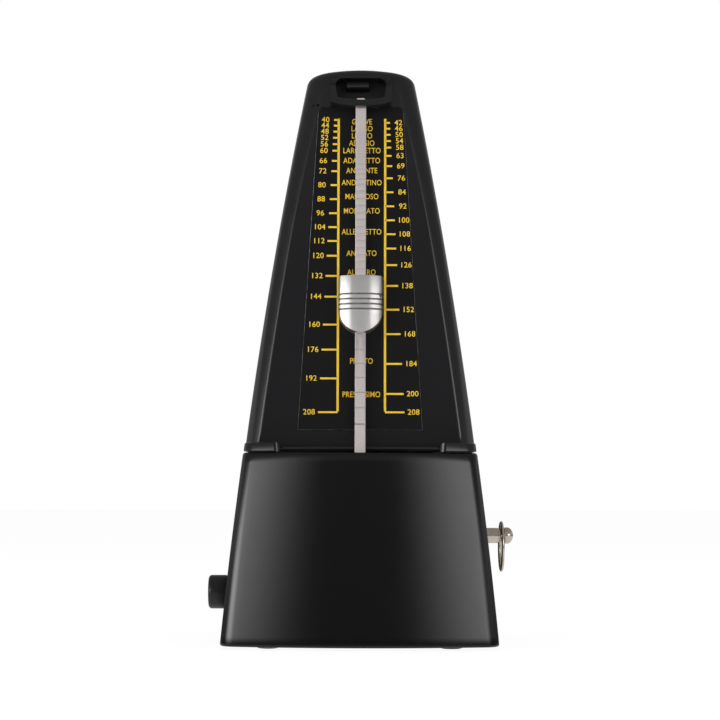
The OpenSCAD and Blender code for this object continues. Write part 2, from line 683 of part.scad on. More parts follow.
// ---- bell work ----
module hammer_arbor() color(steel) {
    x_rod(hammer_at, -plate_x, plate_x, arbor_r);
    x_rod(hammer_at, -plate_x - frame_t, plate_x + frame_t, pivot_r);
}
finger_x = -4.3;
finger_w = 1.4;
head_at = [34.5, 20.7];
fork_x = 4;
fork_t = 1;
module bell_hammer() color(steel) difference() {
    union() {
        x_rod(hammer_at, finger_x - 0.8, fork_x + fork_t + 1.4, 2.2);
        x_rod(hammer_at, fork_x - 1.4, fork_x - 0.4, 3.2);
        x_rod(hammer_at, fork_x + fork_t + 0.4, fork_x + fork_t + 1.4, 3.2);
        x_plate(finger_x, finger_w) {
            tip = drum_at + (drum_tip + 0.6) * unit(hammer_at - drum_at);
            along = unit(hammer_at - drum_at);
            side = [along[1], -along[0]];
            polygon([tip - side * 0.3, tip + side * 0.7, hammer_at + side * 2, hammer_at - side * 2]);
            elbow = [hammer_at[0] + 14, hammer_at[1] - 12];
            polygon([hammer_at + [-1, -2], hammer_at + [2, 1], elbow + [1, 0.6],
                head_at + [1, 2], head_at + [-1, 2], elbow + [-1, -0.6]]);
        }
        translate([finger_x + finger_w / 2 - 2.5, head_at[0], head_at[1]]) rotate([0, 90, 0])
            cylinder(h = 5, r = 3);
    }
    x_rod(hammer_at, -30, 30, arbor_r + 0.04);
}
module hammer_spring() color("#5e6470") {
    turns = 5;
    r = 2.6;
    wire([for (i = [0:turns * 14]) let (a = 360 * i / 14)
        [13 + 1.1 * i / 14, hammer_at[0] + r * cos(a), hammer_at[1] + r * sin(a)]], 0.3, 6);
}
bell_r = 14;
bell_low = 6.5;
bell_h = 11;
bell_t = 0.9;
module bell() color("#d8c07a") translate([bell_at[0], bell_at[1], bell_low]) rotate_extrude()
    polygon(concat(
        [for (a = [0:10:80]) [bell_r * cos(a), bell_h * sin(a)]],
        [[1.7, bell_h], [1.7, bell_h - bell_t]],
        [for (a = [80:-10:0]) [(bell_r - bell_t) * cos(a), (bell_h - bell_t) * sin(a)]]));
module bell_post() color(steel) translate([bell_at[0], bell_at[1], 0]) rotate_extrude() polygon([
    [0, 1.2], [2.4, 1.2], [2.4, floor_z], [1.5, floor_z], [1.5, floor_top], [3.2, floor_top],
    [3.2, bell_low + bell_h - bell_t - 0.5], [1.6, bell_low + bell_h - bell_t - 0.5],
    [1.6, bell_low + bell_h], [2.2, bell_low + bell_h], [2.2, bell_low + bell_h + 1.2],
    [1.6, bell_low + bell_h + 1.7], [0, bell_low + bell_h + 1.7]]);

// ---- beat selector ----
knob_t = 7.3;
rod_r = 2;
detent_x = -30;
module selector_rod() color(steel) {
    translate([0, 0, selector_z]) rotate([0, 90, 0]) rotate_extrude() polygon(concat(
        [[0, -knob_reach + 3], [rod_r, -knob_reach + 3]],
        [for (i = [0:4]) each [[rod_r, detent_x + i * zone_w - 0.6],
            [rod_r - 0.4, detent_x + i * zone_w], [rod_r, detent_x + i * zone_w + 0.6]]],
        [[rod_r, fork_x + fork_t], [0, fork_x + fork_t]]));
    x_plate(fork_x, fork_t) difference() {
        union() {
            polygon([[-2.5, selector_z - 2.5], [2.5, selector_z - 2.5], [16, 24], [19.5, 45],
                [17.6, 66], [10.4, 66], [12.6, 58], [15, 45], [12.5, 28], [-2.5, selector_z + 2.5]]);
        }
        at_side(hammer_at) circle(r = 2.5);
        translate([hammer_at[0] - 2.5, hammer_at[1]]) square([5, 5]);
    }
}
module selector_knob() color(black_plastic) translate([-knob_reach, 0, selector_z])
    rotate([0, 90, 0]) rotate_extrude() {
        r = knob_d / 2;
        round_r = 1.8;
        polygon(concat([[0, 0.6], [r * 0.55, 0.15], [r - round_r, 0]],
            [for (a = [15:15:90]) [r - round_r + round_r * sin(a), round_r * (1 - cos(a))]],
            [[r, knob_t - 0.6], [r - 0.6, knob_t], [rod_r + 0.01, knob_t], [rod_r + 0.01, 2.99],
            [0, 2.99]]));
    }
detent_z = selector_z + rod_r + 0.3;
module selector_detent() color("#5e6470") translate([0, 2.5, 0]) rotate([90, 0, 0])
    linear_extrude(5) polygon([[-25.2, 38], [-25.2, 31], [detent_x - 3, 25.4],
        [detent_x - 0.2, detent_z + 0.5], [detent_x + 2, 24.4], [detent_x + 2.4, 24.2],
        [detent_x + 0.1, detent_z], [detent_x - 0.3, detent_z], [detent_x - 3.6, 25.4],
        [-25.6, 31.4], [-25.6, 38]]);

// ---- pendulum ----
bob_drop = 38;
bob_front = -5;
bob_t = 16;
rod_low = -44;
module pendulum_arbor() color(steel) swing_frame() translate([0, -1.2, 0]) rotate([-90, 0, 0])
    cylinder(h = rear_out + bridge_t + 1.8, r = pivot_r);
module pendulum_hub() color(brass) swing_frame() difference() {
    union() {
        translate([0, rod_t / 2 + 0.02, 0]) rotate([-90, 0, 0]) cylinder(h = 2.6, r = 4);
        translate([0, -rod_t / 2 - 0.62, 0]) rotate([-90, 0, 0]) cylinder(h = 0.6, r = 2.6);
    }
    translate([0, -5, 0]) rotate([-90, 0, 0]) cylinder(h = 12, r = pivot_r + 0.01);
}
flag_turn = 75;
module pallets() color(steel) swing_frame() for (s = [-1, 1])
    translate([0, escape_out + s * (crown_r - crown_rim / 2) - 1.5, 0])
        rotate([-90, 0, 0]) linear_extrude(3) difference() {
            union() {
                circle(r = 1.7);
                rotate(180 + s * flag_turn) translate([0, -0.3]) square([3.1, 0.6]);
            }
            circle(r = pivot_r + 0.01);
        }
module pendulum_rod() color("#c9c4c2") swing_frame() difference() {
    intersection() {
        rotate([90, 0, 90]) translate([0, 0, -rod_w / 2]) linear_extrude(rod_w) polygon(concat(
            [[rod_t / 2, rod_low], [rod_t / 2, rod_len], [-rod_t / 2, rod_len]],
            [for (b = TEMPI) let (z = rest(b) - notch_drop) each [[-rod_t / 2, z + notch_w],
                [-rod_t / 2 + notch_deep, z], [-rod_t / 2, z - notch_w]]],
            [[-rod_t / 2, rod_low]]));
        translate([0, 5, 0]) rotate([90, 0, 0]) linear_extrude(10) polygon([[-rod_w / 2, rod_low],
            [rod_w / 2, rod_low], [rod_w / 2, rod_len - 0.9], [rod_w / 2 - 0.7, rod_len],
            [-rod_w / 2 + 0.7, rod_len], [-rod_w / 2, rod_len - 0.9]]);
    }
    translate([0, -5, 0]) rotate([-90, 0, 0]) cylinder(h = 10, r = pivot_r + 0.01);
}
module counterweight() color(lead) swing_frame() difference() {
    translate([0, bob_front, -bob_drop]) rotate([-90, 0, 0]) cylinder(h = bob_t, r = bob_d / 2);
    translate([-rod_w / 2 - 0.03, -rod_t / 2 - 0.03, rod_low - 0.05])
        cube([rod_w + 0.06, rod_t + 0.06, 40]);
}

// ---- sliding weight ----
weight_back = 3.4;
weight_front = -5.2;
facet_w = 8;
shoulder_out = -1.2;
groove_first = 6.6;
groove_step = 1.9;
groove_deep = 0.35;
weight_top = rest(tempo);
module weight_section(grow) polygon([[-facet_w / 2, weight_front - grow],
    [facet_w / 2, weight_front - grow], [weight_w / 2 + grow, shoulder_out],
    [weight_w / 2 + grow, weight_back], [-weight_w / 2 - grow, weight_back],
    [-weight_w / 2 - grow, shoulder_out]]);
function weight_side() =
    let (w = weight_w / 2, low = weight_h * 0.42)
    concat(arc([w - 1.3, -1], 0.9, 1, 180, 90, 4), [for (a = [0:10:90]) [w * cos(a), -weight_h + low
        - low * sin(a)]]);
module tempo_weight() color("#d9d9d9") swing_frame() translate([0, 0, weight_top]) difference() {
    intersection() {
        translate([0, 0, -weight_h]) linear_extrude(weight_h) weight_section(0);
        translate([0, 10, 0]) rotate([90, 0, 0]) linear_extrude(20)
            polygon(concat(weight_side(), mirror_x(weight_side())));
    }
    for (i = [0:3]) translate([0, 0, -groove_first - i * groove_step]) linear_extrude(0.8)
        difference() {
            translate([0, -2]) square([30, 9.8], center = true);
            weight_section(-groove_deep);
        }
    translate([-rod_w / 2 - 0.1, -rod_t / 2 - 0.1, -weight_h - 1]) cube([rod_w + 0.2, rod_t + 0.2, 30]);
    translate([-2, -2.2, -13]) cube([4, 2.2, 11]);
}
module weight_spring() color("#5e6470") swing_frame() translate([1.5, 0, weight_top])
    rotate([90, 0, -90]) linear_extrude(3) polygon([[2.1, -2.2], [1.6, -2.2], [0.62, -notch_drop + 0.2],
        [0.62, -notch_drop - 0.2], [1.6, -8], [2.1, -12.6], [2.1, -8], [1.1, -notch_drop]]);

base_housing();
tower_housing();
scale_plate();
rod_clip();
bottom_plate();
feet();
case_screws();
left_frame_plate();
right_frame_plate();
frame_pillars();
pillar_screws();
front_bridge();
rear_bridge();
pendulum_bushes();
train_cock();
movement_screws();
winding_arbor();
ratchet_wheel();
mainspring();
key_shaft();
key_bow_pin();
key_bow();
great_wheel();
click();
click_stud();
click_spring();
intermediate_arbor();
intermediate_wheel();
escape_arbor();
escape_wheel();
beat_drive_wheel();
beat_drum();
hammer_arbor();
bell_hammer();
hammer_spring();
bell();
bell_post();
selector_rod();
selector_knob();
selector_detent();
pendulum_arbor();
pendulum_hub();
pallets();
pendulum_rod();
counterweight();
tempo_weight();
weight_spring();
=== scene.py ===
"""Finished surfaces and fine pieces of a wind-up pendulum metronome, built round its CAD frame.

Sizes are millimetres in the form functions and metres in Blender. +Z is up, the scale faces -Y
and the winding key is on +X, as in the frame.
"""
import math

import bmesh
import bpy
from mathutils import Matrix, Vector


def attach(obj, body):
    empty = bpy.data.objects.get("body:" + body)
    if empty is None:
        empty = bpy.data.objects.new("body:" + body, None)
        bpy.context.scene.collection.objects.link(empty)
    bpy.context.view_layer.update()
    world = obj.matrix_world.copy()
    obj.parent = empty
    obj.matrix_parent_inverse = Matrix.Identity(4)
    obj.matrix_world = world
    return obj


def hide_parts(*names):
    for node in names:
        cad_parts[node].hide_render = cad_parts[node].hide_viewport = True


bl_info = {
    "name": "Pendulum Metronome",
    "version": (1, 0, 0),
    "blender": (4, 5, 0),
    "location": "View3D > Sidebar > Metronome",
    "description": "Case mouldings, tempo scale, pendulum and finishes of a wind-up metronome",
    "category": "Add Mesh",
}

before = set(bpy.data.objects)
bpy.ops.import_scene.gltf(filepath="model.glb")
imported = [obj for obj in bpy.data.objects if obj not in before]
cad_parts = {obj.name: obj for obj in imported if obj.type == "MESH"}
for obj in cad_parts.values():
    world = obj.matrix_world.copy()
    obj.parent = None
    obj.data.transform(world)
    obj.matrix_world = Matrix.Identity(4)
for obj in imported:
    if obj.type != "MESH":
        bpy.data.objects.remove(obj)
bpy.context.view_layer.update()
MM = 0.001
LEAN = math.radians(5)
PIVOT = Vector((0, -37.5, 60))
# The swing frame: X across, -Y out of the panel, Z along the rod from the pivot.
SWING = Matrix.Translation(PIVOT) @ Matrix.Rotation(-LEAN, 4, "X")
PANEL_OUT = 4.2        # the scale panel lies this far behind the swing plane
PLATE_OUT = PANEL_OUT + 0.1
HEIGHT = 220.0
SEAM = 72.5
FOOT_UP = 1.2          # the feet hold the lower moulding this far over the table
FOOT_WIDTH = 103.4
HEAD_WIDTH = 39.6
BULGE = 2.85           # the walls stand this far proud of a straight taper, half way up
BOW = 7.0              # the lower moulding's front bows out this far
BACK_RADIUS = 8.0
ARCH_RADIUS = 80.0     # of the top, from side to side
RECESS = (19.4, 149.1, 8.0, 2.6)   # behind the rod's tip: width, lower edge, height and corner radius
KEY = Vector((55.4, 8, 40.8))      # where the key's loop folds
KNOB_UP = 19.0
SIDEWAYS = Matrix.Rotation(math.pi / 2, 4, "Y")    # lays a part that is turned about Z along +X
LENGTH = {"subtype": "DISTANCE", "unit": "LENGTH"}


def linear(code, alpha=1.0):
    """Linear colour of an sRGB hex code."""
    parts = [int(code[i:i + 2], 16) / 255 for i in (1, 3, 5)]
    return tuple(c / 12.92 if c <= 0.04045 else ((c + 0.055) / 1.055) ** 2.4 for c in parts) + (alpha,)


# ---------------------------------------------------------------- settings

class CaseSizes(bpy.types.PropertyGroup):
    """Sizes of the two case mouldings that a user would change, in metres."""

    rim_radius: bpy.props.FloatProperty(
        name="Rim radius", description="Rounding of the lower moulding's upper and lower rims",
        default=0.0009, min=0.0002, max=0.0012, **LENGTH)
    top_round: bpy.props.FloatProperty(
        name="Top rounding", description="Rounding round the arched top of the case",
        default=0.0035, min=0.002, max=0.005, **LENGTH)
    shadow_gap: bpy.props.FloatProperty(
        name="Shadow gap", description="Gap between the lower and the upper moulding",
        default=0.0004, min=0.0002, max=0.0006, **LENGTH)
    plastic: bpy.props.FloatVectorProperty(
        name="Plastic", description="Colour of the moulded case",
        default=linear("#050506")[:3], size=3, min=0, max=1, subtype="COLOR")
    # Painted sheen: the upper moulding is the lower one's plastic, coloured greyer to stand in for the soft
    # sheen on its panel.
    upper_plastic: bpy.props.FloatVectorProperty(
        name="Upper plastic", description="Colour of the upper moulding, a little greyer",
        default=linear("#18181a")[:3], size=3, min=0, max=1, subtype="COLOR")


class ScaleSizes(bpy.types.PropertyGroup):
    """The printed tempo scale."""

    figure_height: bpy.props.FloatProperty(
        name="Figure height", description="Height of the printed tempo figures",
        default=0.0021, min=0.0015, max=0.003, **LENGTH)
    word_height: bpy.props.FloatProperty(
        name="Word height", description="Height of the printed tempo words",
        default=0.0022, min=0.0015, max=0.003, **LENGTH)
    rail_width: bpy.props.FloatProperty(
        name="Rail width", description="Width of the two upright lines of the scale",
        default=0.00085, min=0.0006, max=0.0014, **LENGTH)
    tick_width: bpy.props.FloatProperty(
        name="Tick width", description="Thickness of the tempo marks",
        default=0.0007, min=0.0004, max=0.001, **LENGTH)
    ink: bpy.props.FloatVectorProperty(
        name="Ink", description="Colour of the printed scale",
        default=linear("#ffdb40")[:3], size=3, min=0, max=1, subtype="COLOR")


class PendulumSizes(bpy.types.PropertyGroup):
    """The rod and the sliding weight."""

    rod_width: bpy.props.FloatProperty(
        name="Rod width", description="Width of the notched steel strip",
        default=0.004, min=0.0038, max=0.0046, **LENGTH)
    edge_soft: bpy.props.FloatProperty(
        name="Edge softness", description="Rounding of the weight's machined edges",
        default=0.00035, min=0.0001, max=0.0006, **LENGTH)


class StudioSettings(bpy.types.PropertyGroup):
    """Light and camera."""

    side_light: bpy.props.FloatProperty(
        name="Side light", description="Brightness of the two windows at eye level", default=8.0, min=0)
    room_light: bpy.props.FloatProperty(
        name="Room light", description="Brightness of the ceiling", default=0.27, min=0)
    wall_light: bpy.props.FloatProperty(
        name="Wall light", description="Brightness of the walls at eye level", default=0.07, min=0)
    floor_light: bpy.props.FloatProperty(
        name="Floor light", description="Brightness of the floor in reflections", default=0.65, min=0)
    eye_distance: bpy.props.FloatProperty(
        name="Camera distance", description="Distance of the camera in front of the middle",
        default=0.86, min=0.3, max=3, **LENGTH)
    eye_height: bpy.props.FloatProperty(
        name="Camera height", description="Height of the camera above the table",
        default=0.0618, min=0, max=1, **LENGTH)


# ---------------------------------------------------------------- small tools

def add(tree, kind, links=None, values=None, feeds=None, **settings):
    """Adds a node: settings set it, values fill its sockets, links come in and feeds go out."""
    made = tree.nodes.new(kind)
    for name, value in settings.items():
        setattr(made, name, value)
    for name, value in (values or {}).items():
        made.inputs[name].default_value = value
    for name, source in (links or {}).items():
        tree.links.new(source, made.inputs[name])
    for name, socket in (feeds or {}).items():
        tree.links.new(made.outputs[name], socket)
    return made


def surface(name, colour, **values):
    """A material with one Principled shader; returns the material, its tree and the shader's sockets."""
    made = bpy.data.materials.new(name)
    made.use_nodes = True
    tree = made.node_tree
    tree.nodes.clear()
    out = add(tree, "ShaderNodeOutputMaterial")
    shader = add(tree, "ShaderNodeBsdfPrincipled", values={"Base Color": colour, **values},
                 feeds={"BSDF": out.inputs["Surface"]})
    return made, tree, shader.inputs


def grain(tree, size_mm, detail=2.0, stretch=(1, 1, 1)):
    """Noise on Object coordinates whose cells are about size_mm across, spread to fill 0 to 1."""
    place = add(tree, "ShaderNodeTexCoord")
    mapping = add(tree, "ShaderNodeMapping", {"Vector": place.outputs["Object"]}, {"Scale": stretch})
    noise = add(tree, "ShaderNodeTexNoise", {"Vector": mapping.outputs["Vector"]},
                {"Scale": 1000 / size_mm, "Detail": detail, "Roughness": 0.55})
    full = add(tree, "ShaderNodeMapRange", {"Value": noise.outputs["Fac"]},
               {"From Min": 0.3, "From Max": 0.7})
    return full.outputs["Result"]


# ---------------------------------------------------------------- finishes

def glossy_abs(colour, name="polished_abs"):
    """Injection-moulded ABS from a polished tool: deep black, a clear but slightly wavy shine."""
    made, tree, shader = surface(name, (*colour, 1), **{"Roughness": 0.14, "IOR": 1.5})
    add(tree, "ShaderNodeMapRange", {"Value": grain(tree, 9.0, 1.0)}, {"To Min": 0.13, "To Max": 0.155},
        {"Result": shader["Roughness"]})
    add(tree, "ShaderNodeBump", {"Height": grain(tree, 5.0, 1.5)}, {"Strength": 0.4, "Distance": 0.006 * MM},
        {"Normal": shader["Normal"]})
    return made


def satin_abs(colour):
    """ABS from a fine-blasted tool: the same black with its shine spread into a soft sheen."""
    made, tree, shader = surface("satin_abs", (*colour, 1), **{"Roughness": 0.34, "IOR": 1.5})
    add(tree, "ShaderNodeMapRange", {"Value": grain(tree, 2.0, 2.0)}, {"To Min": 0.31, "To Max": 0.38},
        {"Result": shader["Roughness"]})
    add(tree, "ShaderNodeBump", {"Height": grain(tree, 0.8, 2.0)}, {"Strength": 0.3, "Distance": 0.008 * MM},
        {"Normal": shader["Normal"]})
    return made


def recess_abs():
    """Painted shade: a dull, weakly reflecting ABS for the faces down in the recess, so that the recess
    reads dark.
    """
    made, tree, shader = surface("recess_abs", linear("#141415"),
                                 **{"Roughness": 0.5, "IOR": 1.5, "Specular IOR Level": 0.35})
    add(tree, "ShaderNodeBump", {"Height": grain(tree, 1.0, 2.0)}, {"Strength": 0.4, "Distance": 0.02 * MM},
        {"Normal": shader["Normal"]})
    return made


def matt_abs():
    """Spark-eroded ABS: the bottom plate's fine matt grain, drawn at 0.8 mm so that it shows."""
    made, tree, shader = surface("matt_abs", linear("#1a1a1b"), **{"Roughness": 0.55, "IOR": 1.54})
    add(tree, "ShaderNodeBump", {"Height": grain(tree, 0.8, 3.0)}, {"Strength": 0.7, "Distance": 0.03 * MM},
        {"Normal": shader["Normal"]})
    return made


def black_enamel():
    """Stoved enamel on sheet aluminium: a deep, even, nearly matt black with faint roller mottling."""
    made, tree, shader = surface("black_enamel", linear("#080809"),
                                 **{"Roughness": 0.45, "IOR": 1.5, "Specular IOR Level": 0.25})
    add(tree, "ShaderNodeMapRange", {"Value": grain(tree, 6.0)}, {"To Min": 0.42, "To Max": 0.5},
        {"Result": shader["Roughness"]})
    add(tree, "ShaderNodeBump", {"Height": grain(tree, 1.2)}, {"Strength": 0.4, "Distance": 0.003 * MM},
        {"Normal": shader["Normal"]})
    return made


def rubbed_edge():
    """The rim of the enamelled plate, coloured grey metal as a painted highlight along its edges."""
    made, tree, shader = surface("rubbed_edge", linear("#77777a"), **{"Metallic": 1.0, "Roughness": 0.4})
    add(tree, "ShaderNodeMix", {0: grain(tree, 3.0)}, {6: linear("#4c4c4e"), 7: linear("#8c8c8e")},
        {2: shader["Base Color"]}, data_type="RGBA")
    return made


def screen_ink(colour):
    """Screen-printed enamel ink: lemon gold that thins to a warmer tone in patches."""
    made, tree, shader = surface("yellow_ink", (*colour, 1),
                                 **{"Roughness": 0.5, "IOR": 1.5, "Specular IOR Level": 0.2})
    thin = (colour[0] * 0.93, colour[1] * 0.8, colour[2], 1)
    add(tree, "ShaderNodeMix", {0: grain(tree, 2.4)}, {6: thin, 7: (*colour, 1)},
        {2: shader["Base Color"]}, data_type="RGBA")
    return made


def nickel_plate():
    """Nickel plate on steel: warmer than chrome, with a soft polishing haze."""
    made, tree, shader = surface("nickel_plate", linear("#e4dace"), **{"Metallic": 1.0, "Roughness": 0.2})
    add(tree, "ShaderNodeMapRange", {"Value": grain(tree, 3.0, 3.0)}, {"To Min": 0.16, "To Max": 0.26},
        {"Result": shader["Roughness"]})
    add(tree, "ShaderNodeMix", {0: grain(tree, 4.0)}, {6: linear("#dccbb6"), 7: linear("#ece5dc")},
        {2: shader["Base Color"]}, data_type="RGBA")
    return made


def drawn_steel():
    """Cold-drawn steel strip: faint lines along its length, which spread the shine sideways.
    They are drawn 0.35 mm apart, coarser than real ones, so that they show."""
    made, tree, shader = surface("drawn_steel", linear("#e6dcda"),
                                 **{"Metallic": 1.0, "Roughness": 0.46, "Anisotropic": 0.4})
    lines = grain(tree, 0.35, 2.0, (1, 1, 0.01))
    add(tree, "ShaderNodeMapRange", {"Value": lines}, {"To Min": 0.43, "To Max": 0.5},
        {"Result": shader["Roughness"]})
    add(tree, "ShaderNodeBump", {"Height": lines}, {"Strength": 0.3, "Distance": 0.003 * MM},
        {"Normal": shader["Normal"]})
    return made


def satin_zinc():
    """Tumbled and plated zinc casting: a pale, even satin, with faint lines across it."""
    made, tree, shader = surface("satin_zinc", linear("#e6e4e3"), **{"Metallic": 1.0, "Roughness": 0.4})
    add(tree, "ShaderNodeMapRange", {"Value": grain(tree, 0.7, 2.0, (0.05, 0.05, 1))},
        {"To Min": 0.37, "To Max": 0.43}, {"Result": shader["Roughness"]})
    return made


def groove_grey():
    """The grip grooves, coloured a dull darker grey as painted shade in the grooves."""
    made, tree, shader = surface("groove_grey", linear("#8b8886"), **{"Metallic": 0.6, "Roughness": 0.6})
    add(tree, "ShaderNodeMix", {0: grain(tree, 1.5)}, {6: linear("#7c7977"), 7: linear("#9a9795")},
        {2: shader["Base Color"]}, data_type="RGBA")
    return made


def lacquered_brass():
    """Lacquered brass plate: straight-grained before lacquering."""
    made, tree, shader = surface("lacquered_brass", linear("#c39a4c"), **{"Metallic": 1.0, "Roughness": 0.3})
    add(tree, "ShaderNodeBump", {"Height": grain(tree, 0.4, 2.0, (1, 0.05, 1))},
        {"Strength": 0.5, "Distance": 0.008 * MM}, {"Normal": shader["Normal"]})
    add(tree, "ShaderNodeMix", {0: grain(tree, 12.0)}, {6: linear("#b58a3e"), 7: linear("#cfa858")},
        {2: shader["Base Color"]}, data_type="RGBA")
    return made


def cut_brass():
    """Wheel brass, polished on the faces after the teeth were cut."""
    made, tree, shader = surface("cut_brass", linear("#d0aa57"), **{"Metallic": 1.0, "Roughness": 0.18})
    add(tree, "ShaderNodeMapRange", {"Value": grain(tree, 1.5)}, {"To Min": 0.14, "To Max": 0.26},
        {"Result": shader["Roughness"]})
    return made


def bell_bronze():
    """Spun bell metal: pale gold, with turning rings drawn 0.6 mm apart."""
    made, tree, shader = surface("bell_bronze", linear("#dcc07c"), **{"Metallic": 1.0, "Roughness": 0.2})
    add(tree, "ShaderNodeBump", {"Height": grain(tree, 0.6, 1.0, (0.05, 0.05, 1))},
        {"Strength": 0.5, "Distance": 0.01 * MM}, {"Normal": shader["Normal"]})
    return made


def turned_steel():
    """Turned arbor steel, lightly oiled."""
    made, tree, shader = surface("turned_steel", linear("#9ea1a6"), **{"Metallic": 1.0, "Roughness": 0.27})
    add(tree, "ShaderNodeMapRange", {"Value": grain(tree, 0.5, 2.0, (1, 0.05, 0.05))},
        {"To Min": 0.22, "To Max": 0.34}, {"Result": shader["Roughness"]})
    return made


def zinc_plate():
    """Zinc-plated screws: cool grey with a cloudy passivated skin."""
    made, tree, shader = surface("zinc_plate", linear("#8f9499"), **{"Metallic": 1.0, "Roughness": 0.35})
    add(tree, "ShaderNodeMix", {0: grain(tree, 1.5)}, {6: linear("#868b92"), 7: linear("#a3a7a8")},
        {2: shader["Base Color"]}, data_type="RGBA")
    return made


def blued_spring():
    """Tempered spring steel, blued by heat."""
    made, tree, shader = surface("blued_spring", linear("#3f4658"), **{"Metallic": 1.0, "Roughness": 0.3})
    add(tree, "ShaderNodeMix", {0: grain(tree, 5.0)}, {6: linear("#343b50"), 7: linear("#566070")},
        {2: shader["Base Color"]}, data_type="RGBA")
    return made


def cast_iron():
    """Sand-cast counterweight: dark grey with a grain of about 0.7 mm."""
    made, tree, shader = surface("cast_iron", linear("#4b4c4f"), **{"Metallic": 1.0, "Roughness": 0.6})
    add(tree, "ShaderNodeBump", {"Height": grain(tree, 0.7, 4.0)}, {"Strength": 0.8, "Distance": 0.06 * MM},
        {"Normal": shader["Normal"]})
    return made


def foot_rubber():
    """Moulded black rubber, matt, with a fine bloom."""
    made, tree, shader = surface("foot_rubber", linear("#161616"), **{"Roughness": 0.75, "IOR": 1.52})
    add(tree, "ShaderNodeBump", {"Height": grain(tree, 0.9, 3.0)}, {"Strength": 0.6, "Distance": 0.03 * MM},
        {"Normal": shader["Normal"]})
    return made


FINISH = {}


def finish(name, make, *values):
    """The material of that name, made once."""
    if name not in FINISH:
        FINISH[name] = make(*values)
    return FINISH[name]


def case_plastic():
    """The lower moulding's finish."""
    return finish("case", glossy_abs, tuple(bpy.context.scene.metronome_case.plastic))


def upper_plastic():
    """The upper moulding's finish: the lower one's plastic, coloured a little greyer as painted sheen."""
    return finish("upper_case", glossy_abs, tuple(bpy.context.scene.metronome_case.upper_plastic),
                  "polished_abs_upper")


# ---------------------------------------------------------------- form of the case, in millimetres

def half_width(z):
    """Half width of the case: a straight taper with an even bulge."""
    share = z / HEIGHT
    return (FOOT_WIDTH + (HEAD_WIDTH - FOOT_WIDTH) * share) / 2 + 4 * BULGE * share * (1 - share)


def half_depth(z):
    """Half depth of the case, bow included: a little more than its half width."""
    return half_width(z) + 2


def panel_depth(z):
    """Depth of the leaning scale panel at a height."""
    return PIVOT.y + (z - PIVOT.z) * math.tan(LEAN) + PANEL_OUT / math.cos(LEAN)


def angles(start, end, count):
    """Evenly spaced angles, from start to end in degrees, as radians."""
    return [math.radians(start + (end - start) * i / count) for i in range(count + 1)]


def arc(cx, cy, rx, ry, start, end, count):
    """Points of an arc; angles in degrees from the front towards the right."""
    return [(cx + rx * math.sin(a), cy - ry * math.cos(a)) for a in angles(start, end, count)]


def mirrored(right):
    """The right half of an outline and its mirror image, without repeated points."""
    left = [(-x, y) for x, y in reversed(right) if abs(x) > 1e-6]
    return right + left


def back_corner(z, inset):
    """The right rear corner and the right half of the flat back."""
    width, radius, back = half_width(z) - inset, BACK_RADIUS - inset, half_depth(z) - inset
    corner = arc(width - radius, back - radius, radius, radius, 90, 180, 14)
    return corner + [((width - radius) * i / 8, back) for i in range(7, -1, -1)]


def lower_outline(z, inset):
    """Lower moulding: bowed front, rounded upright corners, flat back."""
    width, front = half_width(z) - inset, half_depth(z) - inset
    radius = 5.5 + (1 - z / SEAM) - 0.8 * inset
    big = (width * width + BOW * BOW) / (2 * BOW)
    turn = math.degrees(math.asin((width - radius) / (big - radius)))
    corner_y = -front + big - (big - radius) * math.cos(math.radians(turn))
    bow = arc(0, -front + big, big, big, 0, turn, 20)[:-1]
    corner = arc(width - radius, corner_y, radius, radius, turn, 90, 18)
    return mirrored(bow + corner + back_corner(z, inset))


def upper_outline(z, inset):
    """Upper moulding: flat leaning panel between two turned corners, flat back. The corners turn
    further towards the head, and near it they also reach further in."""
    head_from = 150
    turn = 55 + 27 * (z - SEAM) / (HEIGHT - SEAM)
    reach = 5.2 + 2.8 * (max(0, z - head_from) / (HEIGHT - head_from)) ** 2
    full = reach / (1 - math.cos(math.radians(turn)))
    across, deep = full - inset, 0.9 * full - inset
    shoulder = panel_depth(z) + inset + deep * math.sin(math.radians(turn))
    corner = arc(half_width(z) - inset - across, shoulder, across, deep, 90 - turn, 90, 24)
    flat = [(corner[0][0] * share, corner[0][1]) for share in (0, 0.15, 0.3, 0.45, 0.6, 0.75, 0.9, 0.98)]
    return mirrored(flat + corner + back_corner(z, inset))


def level(outline, z):
    """An outline of (x, y) pairs at a height."""
    return [Vector((x, y, z)) for x, y in outline]


def crowned(outline, z, share=1.0):
    """An outline drawn in towards the middle, dropped onto the arched top and widened with the taper."""
    widening = 0.00125
    return [Vector((x * share * (1 + widening * abs(x)), y * share,
                    z - (x * share) ** 2 / (2 * ARCH_RADIUS))) for x, y in outline]


def steps(low, high, spacing):
    """Heights from low to high, no further apart than the spacing."""
    count = max(1, math.ceil((high - low) / spacing))
    return [low + (high - low) * i / count for i in range(count + 1)]


# ---------------------------------------------------------------- mesh building

def first_ring(bm, points):
    """A closed ring of edges on the given points."""
    made = bmesh.ops.create_circle(bm, segments=len(points), radius=1)["verts"]
    for vert, point in zip(made, points):
        vert.co = point
    return made


def ring_edges(ring):
    """The edges of a closed ring, in order."""
    members = set(ring)
    return list(dict.fromkeys(e for v in ring for e in v.link_edges if e.other_vert(v) in members))


def cap(bm, ring):
    """Closes a ring of edges with one face."""
    return bmesh.ops.contextual_create(bm, geom=ring + ring_edges(ring))["faces"][0]


def grow(bm, ring, points):
    """Extrudes a ring of edges and moves the new ring onto the given points."""
    new = bmesh.ops.extrude_edge_only(bm, edges=ring_edges(ring))["geom"]
    fresh = {g for g in new if isinstance(g, bmesh.types.BMVert)}
    grown = [next(e.other_vert(v) for e in v.link_edges if e.other_vert(v) in fresh) for v in ring]
    for vert, point in zip(grown, points):
        vert.co = point
    return grown


def loft(bm, rings, closed=True):
    """Skins a list of rings, and caps its ends or leaves them open."""
    first = ring = first_ring(bm, rings[0])
    for points in rings[1:]:
        ring = grow(bm, ring, points)
    if closed:
        cap(bm, first)
        cap(bm, ring)
    return first, ring


